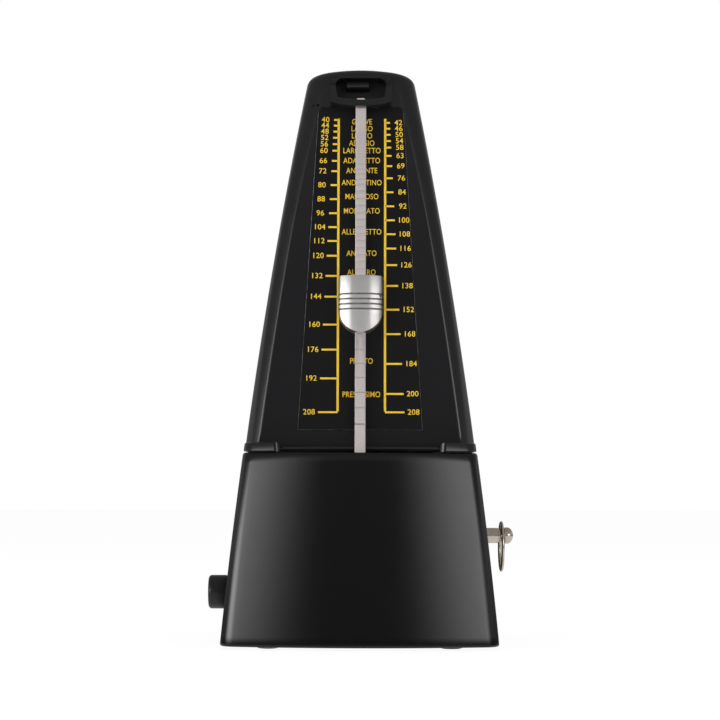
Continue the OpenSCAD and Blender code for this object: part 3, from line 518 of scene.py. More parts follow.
def thicken(bm, faces, push):
    """Extrudes faces into a solid along the vector push, and returns the new corners."""
    pushed = bmesh.ops.extrude_face_region(bm, geom=faces)["geom"]
    new = [g for g in pushed if isinstance(g, bmesh.types.BMVert)]
    bmesh.ops.translate(bm, verts=new, vec=push)
    return new


def prism(bm, outline, push, matrix=None):
    """A flat outline of 3-D points, extruded along the vector push and placed by the matrix."""
    verts = first_ring(bm, outline)
    new = thicken(bm, [cap(bm, verts)], push)
    if matrix is not None:
        bmesh.ops.transform(bm, matrix=matrix, verts=verts + new)
    return verts + new


def upright(outline, y=0.0):
    """An outline of (x, z) pairs as points facing the front."""
    return [Vector((x, y, z)) for x, z in outline]


def turned(bm, profile, matrix, count):
    """Spins a profile of (radius, height) points about Z and places the solid by the matrix.
    The tags tell it from the solids that the bmesh already holds."""
    verts = [bm.verts.new((r, 0, h)) for r, h in profile]
    edges = [bm.edges.new(pair) for pair in zip(verts, verts[1:])]
    bmesh.ops.spin(bm, geom=verts + edges, cent=(0, 0, 0), axis=(0, 0, 1), angle=math.tau,
                   steps=count, use_merge=True)
    new = [v for v in bm.verts if not v.tag]
    bmesh.ops.remove_doubles(bm, verts=new, dist=0.0005)
    new = [v for v in bm.verts if not v.tag]
    bmesh.ops.transform(bm, matrix=matrix, verts=new)
    for vert in new:
        vert.tag = True


def soften(bm, radius, least, segments=3):
    """Bevels the edges that are sharper than an angle in degrees."""
    sharp = [e for e in bm.edges if e.is_manifold and e.calc_face_angle(0) > math.radians(least)]
    bmesh.ops.bevel(bm, geom=sharp, offset=radius, offset_type="OFFSET", affect="EDGES",
                    segments=segments, profile=0.5, material=-1, clamp_overlap=True)


def mesh_object(bm, name):
    """Turns a bmesh in millimetres into an object in metres and frees the bmesh."""
    bmesh.ops.transform(bm, matrix=Matrix.Scale(MM, 4), verts=bm.verts)
    bmesh.ops.recalc_face_normals(bm, faces=bm.faces)
    mesh = bpy.data.meshes.new(name)
    bm.to_mesh(mesh)
    bm.free()
    made = bpy.data.objects.new(name, mesh)
    bpy.context.scene.collection.objects.link(made)
    return made


def combine(obj, cutter, operation):
    """Cuts, joins or crosses obj with a bmesh in millimetres, and keeps the result as its mesh."""
    tool = mesh_object(cutter, "cutter")
    step = obj.modifiers.new("combine", "BOOLEAN")
    step.operation = operation
    step.solver = "EXACT"
    step.object = tool
    ready = obj.evaluated_get(bpy.context.evaluated_depsgraph_get())
    result = bpy.data.meshes.new_from_object(ready)
    obj.modifiers.clear()
    old = obj.data
    obj.data = result
    result.name = obj.name
    bpy.data.meshes.remove(old)
    bpy.data.objects.remove(tool)


def rework(obj, operation, shape, *values):
    """Combines obj with the solid that a shape function makes from the values."""
    bm = bmesh.new()
    shape(bm, *values)
    combine(obj, bm, operation)


def reopened(obj, merge=0):
    """A bmesh in millimetres of an object's mesh, with corners merged that lie closer than merge;
    the object is removed."""
    bm = bmesh.new()
    bm.from_mesh(obj.data)
    bmesh.ops.transform(bm, matrix=Matrix.Scale(1 / MM, 4), verts=bm.verts)
    mesh = obj.data
    bpy.data.objects.remove(obj)
    bpy.data.meshes.remove(mesh)
    if merge:
        bmesh.ops.remove_doubles(bm, verts=bm.verts, dist=merge)
    return bm


def settle(obj, body, material, replaces=(), crease=32):
    """Shades the piece, gives it its material or materials, and joins it to its body."""
    for one in material if isinstance(material, list) else [material]:
        obj.data.materials.append(one)
    obj.data.shade_smooth()
    obj.data.set_sharp_from_angle(angle=math.radians(crease))
    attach(obj, body)
    if replaces:
        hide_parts(*replaces)


# ---------------------------------------------------------------- the case

def build_lower_case(sizes):
    """The lower moulding, with the slot that the pendulum swings in and the holes of key and knob."""
    rim, wall, deck_drop = sizes.rim_radius / MM, 2.4, 0.4
    turns = angles(0, 90, 5)
    rings = [level(lower_outline(z, wall), z) for z in reversed(steps(FOOT_UP, SEAM - 2.8, 12))]
    for a in reversed(turns):
        z = FOOT_UP + rim * (1 - math.sin(a))
        rings.append(level(lower_outline(z, rim * (1 - math.cos(a))), z))
    rings += [level(lower_outline(z, 0), z) for z in steps(FOOT_UP + rim, SEAM - rim, 3)[1:-1]]
    for a in turns:
        z = SEAM - rim + rim * math.sin(a)
        rings.append(level(lower_outline(z, rim * (1 - math.cos(a))), z))
    rings += [level(lower_outline(SEAM, rim + 0.3), SEAM),
              level(lower_outline(SEAM, rim + 0.4), SEAM - deck_drop)]
    bm = bmesh.new()
    loft(bm, rings)
    case = mesh_object(bm, "lower_case")
    slot, slot_deep = [(-18, 60), (18, 60), (18, 90), (-18, 90)], 11.4
    rework(case, "DIFFERENCE", prism, upright(slot, panel_depth(SEAM) - slot_deep), (0, slot_deep, 0))
    for radius, y, z, turn in ((3.5, KEY.y, KEY.z, SIDEWAYS), (2.3, 0, KNOB_UP, SIDEWAYS.inverted())):
        rework(case, "DIFFERENCE", turned, [(0, 30), (radius, 30), (radius, 60), (0, 60)],
               Matrix.Translation((0, y, z)) @ turn, 48)
    settle(case, "case", case_plastic(), ["base_housing"])


def pill(width, low, tall, radius):
    """A rounded rectangle in the XZ plane, centred on x = 0."""
    points = []
    for cx, cz, start in ((1, 0, 270), (1, 1, 0), (-1, 1, 90), (-1, 0, 180)):
        for a in angles(start, start + 90, 8):
            points.append((cx * (width / 2 - radius) + radius * math.cos(a),
                           low + radius + cz * (tall - 2 * radius) + radius * math.sin(a)))
    return points


def plate_outline(grow_by):
    """The tapered scale plate in the XZ plane of the swing frame, with rounded upper corners."""
    foot, head, radius = 23.5 + grow_by, 16.4 + grow_by, 2.5 + grow_by
    right = [(foot, 21.5 - grow_by)]
    right += [(head - radius + radius * math.cos(a), 143.3 + radius * math.sin(a))
              for a in angles(0, 90, 10)]
    return right + [(-x, z) for x, z in reversed(right)]


def foot_blocks(foot):
    """A bmesh of the two blocks that flank the scale panel. They carry the lower moulding's plan up past
    the seam, and their inner ends are rounded and lean."""
    top, soft, inset = SEAM + 3.8, 0.8, 0.1
    rings = [level(lower_outline(foot, 0.35), foot), level(lower_outline(foot + 0.3, inset), foot + 0.3)]
    for a in angles(0, 90, 6):
        z = top - soft * (1 - math.sin(a))
        rings.append(level(lower_outline(z, inset + soft * (1 - math.cos(a))), z))
    bm = bmesh.new()
    loft(bm, rings)
    blocks = mesh_object(bm, "foot_blocks")
    bm = bmesh.new()
    for side in (1, -1):
        outline = [(29.5, SEAM - 5), (60, SEAM - 5), (60, SEAM + 10), (32.5, SEAM + 10),
                   (32.5, SEAM + 4.2), (30.7, SEAM + 3.6), (29.5, SEAM + 2.4)]
        prism(bm, upright([(side * x, z) for x, z in outline], -60), (0, panel_depth(SEAM) + 62, 0))
    combine(blocks, bm, "INTERSECT")
    front = max(y for x, y, _ in rings[1] if 31 < abs(x) < 34 and y < 0)
    end = 1.8
    bm = bmesh.new()
    for side in (1, -1):
        plan = [(60, 10), (29.1, 10)]
        plan += [(30.9 + end * math.cos(a), front + 1.3 + end * math.sin(a)) for a in angles(180, 283.5, 9)]
        plan += [(31.4, front - 9), (60, front - 9)]
        prism(bm, [Vector((side * x, y, SEAM - 5)) for x, y in plan], (side * 1.4, 1.4, 15))
    combine(blocks, bm, "INTERSECT")
    return reopened(blocks, 0.002)


def build_upper_case(sizes):
    """The upper moulding, with its foot blocks, the pocket of the scale plate, the recess behind the
    rod's tip with the bar inside it, and two small dimples beside the plate."""
    radius = sizes.top_round / MM
    foot = SEAM + sizes.shadow_gap / MM
    shoulder = HEIGHT - radius
    rings = [level(upper_outline(z, inset), z)
             for z, inset in ((foot, 0.5), (foot + 0.15, 0.15), (foot + 0.5, 0))]
    rings += [level(upper_outline(z, 0), z) for z in steps(foot + 0.5, shoulder - 4, 3)[1:]]
    # The rounding starts along the taper of the walls.
    taper = math.atan(0.19)
    start = shoulder + radius * math.sin(taper)
    for a in angles(math.degrees(taper), 90, 10):
        rings.append(crowned(upper_outline(start, radius * (math.cos(taper) - math.cos(a))),
                             shoulder + radius * math.sin(a)))
    for share in (0.9, 0.75, 0.6, 0.45, 0.3, 0.15, 0.02):
        rings.append(crowned(upper_outline(start, radius * math.cos(taper)), HEIGHT, share))
    bm = bmesh.new()
    loft(bm, rings)
    case = mesh_object(bm, "upper_case")
    combine(case, foot_blocks(foot), "UNION")
    before, pocket_deep, recess_deep = PANEL_OUT - 5, 6.1, 10.5
    rework(case, "DIFFERENCE", prism, upright(plate_outline(0.15), before), (0, pocket_deep, 0), SWING)
    rework(case, "DIFFERENCE", prism, upright(pill(*RECESS), before), (0, recess_deep, 0), SWING)
    bm = bmesh.new()
    into_panel = Matrix.Rotation(math.pi / 2, 4, "X")
    for x in (-18.3, -16.5):
        turned(bm, [(0, 0), (0.3, 0.1), (0.5, 0.6), (0.55, 2.8), (0, 2.8)],
               SWING @ Matrix.Translation((x, PANEL_OUT + 1.8, 146.6)) @ into_panel, 24)
    combine(case, bm, "DIFFERENCE")
    rework(case, "UNION", turned, [(0, -5.8), (1.8, -5.8), (2.2, -5.4), (2.2, 3), (1.8, 3.4), (0, 3.4)],
           SWING @ Matrix.Translation((0, PANEL_OUT + 4, 155.5)) @ SIDEWAYS, 40)
    settle(case, "case", [upper_plastic(), finish("recess", recess_abs)], ["tower_housing"])
    width, low, tall, _ = RECESS
    margin = 0.1
    # The faces down in the recess, beside and behind the bar, get the dull finish: painted shade.
    for face in case.data.polygons:
        x, y, z = SWING.inverted() @ (face.center / MM)
        beside_bar = not -6 < x < 3.5
        inside = abs(x) < width / 2 + margin and low - margin < z < low + tall + margin
        deep = PANEL_OUT + 0.8 < y < PANEL_OUT + 6 and (beside_bar or y > PANEL_OUT + 5)
        face.material_index = int(inside and deep)


def build_rod_rest():
    """The rim round the recess and the lip that stands in front of the rod's tip."""
    bm = bmesh.new()
    thick = 1.2
    outer = first_ring(bm, upright(pill(23.4, 148.3, 10.3, 4)))
    inner = first_ring(bm, upright(pill(*RECESS)))
    bmesh.ops.bridge_loops(bm, edges=ring_edges(outer) + ring_edges(inner))
    thicken(bm, list(bm.faces), (0, thick, 0))
    bmesh.ops.transform(bm, matrix=SWING @ Matrix.Translation((0, PANEL_OUT - thick, 0)), verts=bm.verts)
    rest = mesh_object(bm, "rod_rest")
    edge = [(11.7 * i / 8, 144.7 + 1.7 * (i / 8) ** 2) for i in range(-8, 9)]
    brow = [(8.9 * i / 8, 147.2 + 1.7 * (8.9 * i / 93.6) ** 2) for i in range(8, -9, -1)]
    lip = edge + [(11.7, 152.8), (9.7, 152.8)] + brow + [(-9.7, 152.8), (-11.7, 152.8)]
    rework(rest, "UNION", prism, upright(lip, -2.4), (0, 1.5, 0), SWING)
    for side in (1, -1):
        arm = [(side * 9.7, 150.2), (side * 11.7, 150.2), (side * 11.7, 152.8), (side * 9.7, 152.8)]
        rework(rest, "UNION", prism, upright(arm, -1.6), (0, 5.2, 0), SWING)
    bm = reopened(rest, 0.001)
    soften(bm, 0.3, 40)
    settle(mesh_object(bm, "rod_rest"), "case", upper_plastic(), ["rod_clip"])


def build_feet():
    """Four turned rubber feet, each with a neck that snaps into the bottom plate."""
    bm = bmesh.new()
    profile = [(0, 0), (3.2, 0), (3.8, 0.12), (4.3, 0.42), (4.6, 0.85), (4.7, 1.3), (4.7, 2.4),
               (1.9, 2.4), (1.9, 4.8), (2.7, 4.8), (2.5, 5.4), (1.5, 6.1), (0, 6.2)]
    for x in (34, -34):
        for y in (36, -36):
            turned(bm, profile, Matrix.Translation((x, y, 0)), 40)
    settle(mesh_object(bm, "rubber_feet"), "case", finish("rubber", foot_rubber), ["feet"])


def build_screws():
    """Pan-head screws under the case with crossed slots."""
    bm = bmesh.new()
    places = [(x * s, y, 14.0) for x, y in ((43, -28), (43, 30)) for s in (1, -1)]
    for x, y, reach in places:
        turned(bm, [(0, 0.9), (1.6, 0.95), (2.3, 1.2), (2.6, 1.6), (2.6, 2.4), (1.3, 2.4),
                    (1.3, reach - 0.8), (0.5, reach), (0, reach)], Matrix.Translation((x, y, 0)), 32)
    screws = mesh_object(bm, "case_screw_set")
    for turn in (0, 90):
        bm = bmesh.new()
        for x, y, _ in places:
            prism(bm, upright([(-1.5, 0.5), (1.5, 0.5), (1.2, 1.9), (-1.2, 1.9)], -0.25), (0, 0.5, 0),
                  Matrix.Translation((x, y, 0)) @ Matrix.Rotation(math.radians(turn + 20), 4, "Z"))
        combine(screws, bm, "DIFFERENCE")
    settle(screws, "case", finish("zinc", zinc_plate), ["case_screws"])


# ---------------------------------------------------------------- the tempo scale

TEMPI = list(range(40, 61, 2)) + list(range(63, 73, 3)) + list(range(76, 121, 4)) \
    + list(range(126, 145, 6)) + list(range(152, 209, 8))
WORDS = [("GRAVE", 140.1), ("LARGO", 137.4), ("LENTO", 134.6), ("ADAGIO", 131.7), ("LARGHETTO", 128.8),
         ("ADAGIETTO", 124.9), ("ANDANTE", 121.0), ("ANDANTINO", 116.3), ("MAESTOSO", 110.9),
         ("MODERATO", 105.3), ("ALLEGRETTO", 97.2), ("ANIMATO", 88.9), ("ALLEGRO", 81.6),
         ("VIVACE", 64.4), ("PRESTO", 47.6), ("PRESTISSIMO", 34.9)]
PRINT_SHIFT = 0.4      # the print sits this far right of the plate's middle
RAIL_OUT = 8.9         # middle of each upright line
PRINT_TOP = 140.9      # where the marks are shortest
# How far some printed marks stand off the pendulum's law, in millimetres.
MARK_SHIFT = {116: -0.2, 120: -0.4, 132: -0.3, 138: -0.2, 144: -0.5, 152: -0.3, 160: -0.9, 168: 0.7,
              208: -0.7}


def mark_height(tempo):
    """Height of a tempo mark along the rod: a compound pendulum's period gives the weight's place.
    The moment and the inertia are those of rod and counterweight, for each unit of the weight's mass."""
    gravity, moment, inertia, mark_over_middle = 9810, 143, 9900, 10
    square = (math.pi * tempo / 60) ** 2
    root = math.sqrt(gravity ** 2 - 4 * square * (square * inertia - gravity * moment))
    return (root - gravity) / (2 * square) + mark_over_middle


def build_scale_plate():
    """The enamelled plate, with its edge faces in grey metal as a painted highlight."""
    bm = bmesh.new()
    prism(bm, upright(plate_outline(0)), (0, 1.0, 0))
    soften(bm, 0.12, 40, 2)
    bmesh.ops.transform(bm, matrix=SWING @ Matrix.Translation((0, PLATE_OUT, 0)), verts=bm.verts)
    plate = mesh_object(bm, "tempo_plate")
    settle(plate, "case",
           [finish("enamel", black_enamel), finish("plate_edge", rubbed_edge)], ["scale_plate"], 20)
    # The bevel faces get the grey metal: a painted highlight along the rim.
    facing = SWING.to_3x3() @ Vector((0, -1, 0))
    for face in plate.data.polygons:
        face.material_index = int(0.2 < face.normal.dot(facing) < 0.97)


def lettering(text, height, x, up, squeeze):
    """Flat text made a mesh, centred on a place of the plate; returns a bmesh in millimetres."""
    curve = bpy.data.curves.new("lettering", "FONT")
    curve.body = text
    curve.size = height / 0.72
    curve.align_x = "CENTER"
    curve.align_y = "CENTER"
    curve.offset = 0.02
    curve.space_character = 1.04
    curve.resolution_u = 4
    holder = bpy.data.objects.new("lettering", curve)
    bpy.context.scene.collection.objects.link(holder)
    bpy.context.view_layer.update()
    ready = holder.evaluated_get(bpy.context.evaluated_depsgraph_get())
    mesh = bpy.data.meshes.new_from_object(ready)
    bm = bmesh.new()
    bm.from_mesh(mesh)
    bpy.data.objects.remove(holder)
    bpy.data.curves.remove(curve)
    bpy.data.meshes.remove(mesh)
    bmesh.ops.transform(bm, verts=bm.verts, matrix=Matrix.Translation((x, 0, up))
                        @ Matrix.Rotation(math.pi / 2, 4, "X") @ Matrix.Diagonal((squeeze, 1, 1, 1)))
    return bm


def build_scale_print(sizes):
    """Two rails, the tempo marks, figures and words, as one thin printed layer."""
    layer = bmesh.new()
    figure, word = sizes.figure_height / MM, sizes.word_height / MM
    rail, tick = sizes.rail_width / MM, sizes.tick_width / MM
    bars = [(side * RAIL_OUT - rail / 2, side * RAIL_OUT + rail / 2, 28.6, 141.4) for side in (-1, 1)]
    texts = [(name, word, 0, up, 0.8) for name, up in WORDS]
    for i, tempo in enumerate(TEMPI):
        up = mark_height(tempo) + MARK_SHIFT.get(tempo, 0)
        for side in (-1, 1):
            if (side > 0) != (i % 2 == 1) and tempo != 208:
                continue
            # The marks grow longer and the figures stand further out towards the foot.
            length = 1.75 + (PRINT_TOP - up) * 0.0496
            inner, outer = side * RAIL_OUT, side * (RAIL_OUT + length)
            bars.append((min(inner, outer), max(inner, outer), up - tick / 2, up + tick / 2))
            texts.append((str(tempo), figure, side * (13.9 + (PRINT_TOP - up) * 0.051), up, 1.02))
    for low, high, bottom, top in bars:
        corners = [layer.verts.new((x, 0, z)) for x, z in
                   ((low, bottom), (high, bottom), (high, top), (low, top))]
        bmesh.ops.contextual_create(layer, geom=corners)
    for text in texts:
        part = lettering(*text)
        mesh = bpy.data.meshes.new("part")
        part.to_mesh(mesh)
        part.free()
        layer.from_mesh(mesh)
        bpy.data.meshes.remove(mesh)
    bmesh.ops.reverse_faces(layer, faces=[f for f in layer.faces if f.normal.y > 0])
    thicken(layer, list(layer.faces), (0, -0.05, 0))
    bmesh.ops.transform(layer, matrix=SWING @ Matrix.Translation((PRINT_SHIFT, PLATE_OUT + 0.005, 0)),
                        verts=layer.verts)
    settle(mesh_object(layer, "tempo_print"), "case",
           finish("ink", screen_ink, tuple(sizes.ink)), (), 20)


# ---------------------------------------------------------------- pendulum and weight

WEIGHT_MARK = 132      # the tempo that the weight is set to
EDGE_DROP = 1.6        # the weight's upper edge stands this far below its mark
NOTCH_DROP = 4.2       # and the notch that holds it there this far below that edge


def build_rod(sizes):
    """A flat strip with a V notch across its face below every tempo mark; the upper ones are worn down."""
    half, deep, edge = sizes.rod_width / MM / 2, 0.45, 0.15
    foot, tip = -44.0, 148.3
    flank, root, sharp, worn = 0.3, 0.03, 0.2, 0.05

    def section(z, cut=0.0, narrow=0.0):
        w = half - narrow
        outline = [(-w + edge, -deep + cut), (w - edge, -deep + cut), (w, -deep + edge + cut * 0.4),
                   (w, deep - edge), (w - edge, deep), (-w + edge, deep), (-w, deep - edge),
                   (-w, -deep + edge + cut * 0.4)]
        return [Vector((x, y, z)) for x, y in outline]

    rings = [section(foot, 0, 0.1), section(foot + 0.1)]
    for tempo in reversed(TEMPI):
        at = mark_height(tempo) - EDGE_DROP - NOTCH_DROP
        if rings[-1][0].z < at - flank - 2 * root:
            cut = sharp if tempo > WEIGHT_MARK else worn
            rings += [section(at - flank), section(at - root, cut),
                      section(at + root, cut), section(at + flank)]
    rings += [section(tip - 0.9), section(tip - 0.12, 0, 0.6), section(tip, 0.1, 0.75)]
    bm = bmesh.new()
    loft(bm, rings)
    bmesh.ops.transform(bm, matrix=SWING, verts=bm.verts)
    rod = mesh_object(bm, "notched_rod")
    settle(rod, "pendulum", finish("drawn", drawn_steel), ["pendulum_rod"], 20)


def weight_section(grow):
    """Plan of the weight: bowed front, sloping cheeks, upright sides, flat back."""
    bow = arc(0, 34.8, 40 + grow, 40 + grow, -5.8, 5.8, 8)
    cheek = [(6.9 + grow, -4 - grow), (7.7 + grow, -3.4 - grow * 0.7),
             (8.25 + grow, -2.4), (8.25 + grow, 3.4)]
    return bow + cheek + [(-x, y) for x, y in reversed(cheek)]


def slab(outline, low, high):
    """A bmesh of a flat outline of (x, y) pairs between two heights."""
    bm = bmesh.new()
    prism(bm, [Vector((x, y, low)) for x, y in outline], (0, 0, high - low))
    return bm


def build_weight(sizes):
    """A die-cast sliding weight with a half-round foot, four grip grooves and a slot for the rod."""
    half, tall, round_tall, corner = 8.25, 21.5, 9.03, 0.55
    first, pitch, count, groove, groove_deep = -7.4, 1.9, 4, 0.65, 0.55
    side = [(half - corner + corner * math.sin(a), -corner + corner * math.cos(a)) for a in angles(0, 90, 5)]
    side += [(half * math.cos(a), round_tall - tall - round_tall * math.sin(a)) for a in angles(0, 90, 24)]
    bm = bmesh.new()
    prism(bm, upright(side + [(-x, z) for x, z in reversed(side[:-1])], -10), (0, 20, 0))
    weight = mesh_object(bm, "weight_body")
    combine(weight, slab(weight_section(0), -30, 5), "INTERSECT")
    bm = reopened(weight, 0.002)
    soften(bm, sizes.edge_soft / MM, 20)
    weight = mesh_object(bm, "sliding_weight")
    for i in range(count):
        low = first - pitch * i
        collar = mesh_object(slab([(-15, -12), (15, -12), (15, 3), (-15, 3)], low, low + groove), "groove")
        combine(collar, slab(weight_section(-groove_deep), low - 1, low + 2), "DIFFERENCE")
        combine(weight, reopened(collar), "DIFFERENCE")
    combine(weight, slab([(-2.1, -0.55), (2.1, -0.55), (2.1, 0.55), (-2.1, 0.55)], -30, 10), "DIFFERENCE")
    bm = reopened(weight)
    place = SWING @ Matrix.Translation((0, 0, mark_height(WEIGHT_MARK) - EDGE_DROP))
    bmesh.ops.transform(bm, matrix=place, verts=bm.verts)
    weight = mesh_object(bm, "sliding_weight")
    settle(weight, "weight",
           [finish("zinc_satin", satin_zinc), finish("grooves", groove_grey)], ["tempo_weight"], 24)
    # The groove faces get the darker grey: painted shade in the grooves.
    for face in weight.data.polygons:
        _, y, z = place.inverted() @ (face.center / MM)
        grooved = first - pitch * (count - 1) - 0.1 < z < first + groove + 0.25
        face.material_index = int(grooved and 0.01 < (z - first) % pitch < groove + 0.01 and y < 3.3)


# ---------------------------------------------------------------- key and knob

def build_key():
    """The key's turned stem with its domed nose, and the thin loop that folds in it, slightly askew."""
    bm = bmesh.new()
    nose = [(3.2 * math.cos(a), 57.7 + 2.3 * math.sin(a)) for a in angles(0, 80, 8)]
    stem = [(0, 27), (2.7, 27), (3, 27.3), (3, 54), (2.8, 54.2), (2.8, 56.2), (3, 56.5), (3.15, 56.55),
            (3.2, 56.7)]
    turned(bm, stem + nose + [(0, 60)], Matrix.Translation((0, KEY.y, KEY.z)) @ SIDEWAYS, 64)
    nickel = finish("nickel", nickel_plate)
    settle(mesh_object(bm, "key_stem"), "winding", nickel, ["key_shaft"], 28)
    bm = bmesh.new()
    rise, drop, half, thick, flat, askew = 5.7, 14.2, 7.4, 0.85, 0.62, 0.3
    middle, tall = (rise - drop) / 2, (rise + drop) / 2
    rings = []
    for a in angles(0, 355, 71):
        centre = Vector((KEY.x - askew * math.cos(a), KEY.y + (half - thick - 0.1) * math.cos(a),
                         KEY.z + middle + (tall - thick - 0.05) * math.sin(a)))
        out = Vector((0, math.cos(a) * tall, math.sin(a) * half)).normalized()
        rings.append([centre + out * thick * math.cos(b) + Vector((flat * math.sin(b), 0, 0))
                      for b in angles(0, 337.5, 15)])
    first, last = loft(bm, rings, closed=False)
    bmesh.ops.bridge_loops(bm, edges=ring_edges(first) + ring_edges(last))
    settle(mesh_object(bm, "key_loop"), "key_bow", nickel, ["key_bow"], 50)


def build_knob():
    """A round pull knob with a dished face."""
    bm = bmesh.new()
    radius, fillet = 6.5, 1.3
    face = [(0, 0.62), (1.6, 0.58), (2.8, 0.42), (3.8, 0.16), (4.6, 0.03)]
    rim = [(radius - fillet + fillet * math.sin(a), fillet * (1 - math.cos(a))) for a in angles(9, 90, 9)]
    turned(bm, face + rim + [(radius, 6.7), (radius - 0.2, 7.1), (radius - 0.6, 7.3), (2.05, 7.3), (2.05, 3),
                             (0, 3)], Matrix.Translation((-58.5, 0, KNOB_UP)) @ SIDEWAYS, 72)
    # The knob takes the upper moulding's greyer colour, which carries the painted sheen.
    satin = finish("knob", satin_abs, tuple(bpy.context.scene.metronome_case.upper_plastic))
    settle(mesh_object(bm, "pull_knob"), "selector", satin, ["selector_knob"], 35)


# ---------------------------------------------------------------- finishes of the remaining frame nodes

NODE_FINISH = {
    "matt_abs": (matt_abs, ["bottom_plate"]),
    "nickel": (nickel_plate, ["key_bow_pin"]),
    "plates": (lacquered_brass, ["left_frame_plate", "right_frame_plate", "front_bridge", "rear_bridge",
                                 "train_cock", "frame_pillars"]),
    "wheels": (cut_brass, ["great_wheel", "intermediate_wheel", "escape_wheel", "beat_drive_wheel",
                           "beat_drum", "pendulum_hub", "pendulum_bushes"]),
    "bell": (bell_bronze, ["bell"]),
    "arbors": (turned_steel, ["winding_arbor", "ratchet_wheel", "click", "click_stud", "intermediate_arbor",
                              "escape_arbor", "hammer_arbor", "bell_hammer", "bell_post", "selector_rod",
                              "pendulum_arbor", "pallets"]),
    "zinc": (zinc_plate, ["pillar_screws", "movement_screws"]),
    "springs": (blued_spring, ["mainspring", "click_spring", "hammer_spring", "selector_detent",
                               "weight_spring"]),
    "bob": (cast_iron, ["counterweight"]),
}


def finish_nodes():
    """Gives the nodes that keep the frame's own mesh their finishes."""
    for name, (make, nodes) in NODE_FINISH.items():
        material = finish(name, make)
        for node in nodes:
            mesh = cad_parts[node].data
            mesh.materials.clear()
            mesh.materials.append(material)


# ---------------------------------------------------------------- studio

# The two windows: bearings of the outer side, the middle and the inner side, in degrees from the front
# with minus to the left, and the brightness of the middle, which fades evenly to both sides.
LEFT_WINDOW = (-95, -62, -11, 6.8)
RIGHT_WINDOW = (72, 39, 10, 3.3)
BETWEEN_WINDOWS = 0.1
BESIDE_WINDOWS = 0.3
BRIGHTEST = 8.0        # the ramp holds shares of this


def build_floor():
    """A round sheet of white paper that is lit evenly and stays out of the reflections."""
    bm = bmesh.new()
    bmesh.ops.create_circle(bm, cap_ends=True, segments=96, radius=4000)
    floor = mesh_object(bm, "studio_floor")
    made, _, _ = surface("white_paper", linear("#5c5c5c"), **{
        "Roughness": 0.9, "Specular IOR Level": 0.0, "Emission Color": linear("#ffffff"),
        "Emission Strength": 0.94})
    floor.data.materials.append(made)
    floor.visible_glossy = False


def build_world(settings):
    """The room that the surfaces mirror: two windows at eye level in a dark wall, under a dim ceiling
    and over a pale floor. The camera itself sees white paper."""
    world = bpy.data.worlds.new("studio_room")
    bpy.context.scene.world = world
    world.use_nodes = True
    tree = world.node_tree
    tree.nodes.clear()
    place = add(tree, "ShaderNodeTexCoord")
    parts = add(tree, "ShaderNodeSeparateXYZ", {"Vector": place.outputs["Generated"]})
    ahead = add(tree, "ShaderNodeMath", {0: parts.outputs["Y"]}, {1: -1.0}, operation="MULTIPLY")
    bearing = add(tree, "ShaderNodeMath", {0: parts.outputs["X"], 1: ahead.outputs[0]}, operation="ARCTAN2")
    share = add(tree, "ShaderNodeMapRange", {"Value": bearing.outputs[0]},
                {"From Min": -math.pi, "From Max": math.pi})
    ramp = add(tree, "ShaderNodeValToRGB", {"Fac": share.outputs[0]})
    stops = [(-180, BESIDE_WINDOWS), (180, BESIDE_WINDOWS)]
    for outer, middle, inner, glow in (LEFT_WINDOW, RIGHT_WINDOW):
        stops += [(outer, BESIDE_WINDOWS), (middle, glow), (inner, BETWEEN_WINDOWS)]
    ramp.color_ramp.interpolation = "EASE"
    for _ in stops[2:]:
        ramp.color_ramp.elements.new(0.5)
    for element, (at, bright) in zip(ramp.color_ramp.elements, sorted(stops)):
        element.position = at / 360 + 0.5
        element.color = (*[bright / BRIGHTEST] * 3, 1)

    height = parts.outputs["Z"]
    across = parts.outputs["X"]
    square = add(tree, "ShaderNodeMath", {0: across, 1: across}, operation="MULTIPLY")
    # The windows' upper edge and the ceiling's come down towards the sides.
    edge = add(tree, "ShaderNodeMath", {0: square.outputs[0], 2: height}, {1: 0.2}, operation="MULTIPLY_ADD")
    # Each soft edge: what it follows, where it starts and ends, and the light under and over it.
    soft_edges = []
    for source, low, high, under, over in (
            (height, -0.02, 0.16, 0.0, settings.side_light), (edge.outputs[0], 0.365, 0.425, 1.0, 0.0),
            (height, -0.1, -0.02, settings.floor_light, settings.wall_light),
            (edge.outputs[0], 0.28, 0.34, 0.0, settings.room_light - settings.wall_light)):
        step = add(tree, "ShaderNodeMapRange", {"Value": source},
                   {"From Min": low, "From Max": high, "To Min": under, "To Max": over},
                   interpolation_type="SMOOTHSTEP")
        soft_edges.append(step.outputs["Result"])
    sills, lintels, below, above = soft_edges
    glass = add(tree, "ShaderNodeMath", {0: ramp.outputs["Color"], 1: sills}, operation="MULTIPLY")
    windows = add(tree, "ShaderNodeMath", {0: glass.outputs[0], 1: lintels}, operation="MULTIPLY")
    walls = add(tree, "ShaderNodeMath", {0: below, 1: above}, operation="ADD")
    total = add(tree, "ShaderNodeMath", {0: windows.outputs[0], 1: walls.outputs[0]}, operation="ADD")
    room = add(tree, "ShaderNodeBackground", {"Strength": total.outputs[0]}, {"Color": (1, 1, 1, 1)})
    paper = add(tree, "ShaderNodeBackground", values={"Color": (1, 1, 1, 1), "Strength": 1.0})
    ray = add(tree, "ShaderNodeLightPath")
    out = add(tree, "ShaderNodeOutputWorld")
    add(tree, "ShaderNodeMixShader",
        {0: ray.outputs["Is Camera Ray"], 1: room.outputs[0], 2: paper.outputs[0]},
        feeds={0: out.inputs["Surface"]})


def build_softbox():
    """A square lamp above the case, which no surface mirrors."""
    place, target, side, power = Vector((0, -0.1, 1.3)), Vector((0, 0, 0.1)), 1.2, 6
    data = bpy.data.lights.new("softbox_above", "AREA")
    data.shape = "SQUARE"
    data.size, data.energy = side, power
    lamp = bpy.data.objects.new("softbox_above", data)
    bpy.context.scene.collection.objects.link(lamp)
    lamp.location = place
    lamp.rotation_euler = (target - place).to_track_quat("-Z", "Y").to_euler()
    lamp.visible_glossy = False


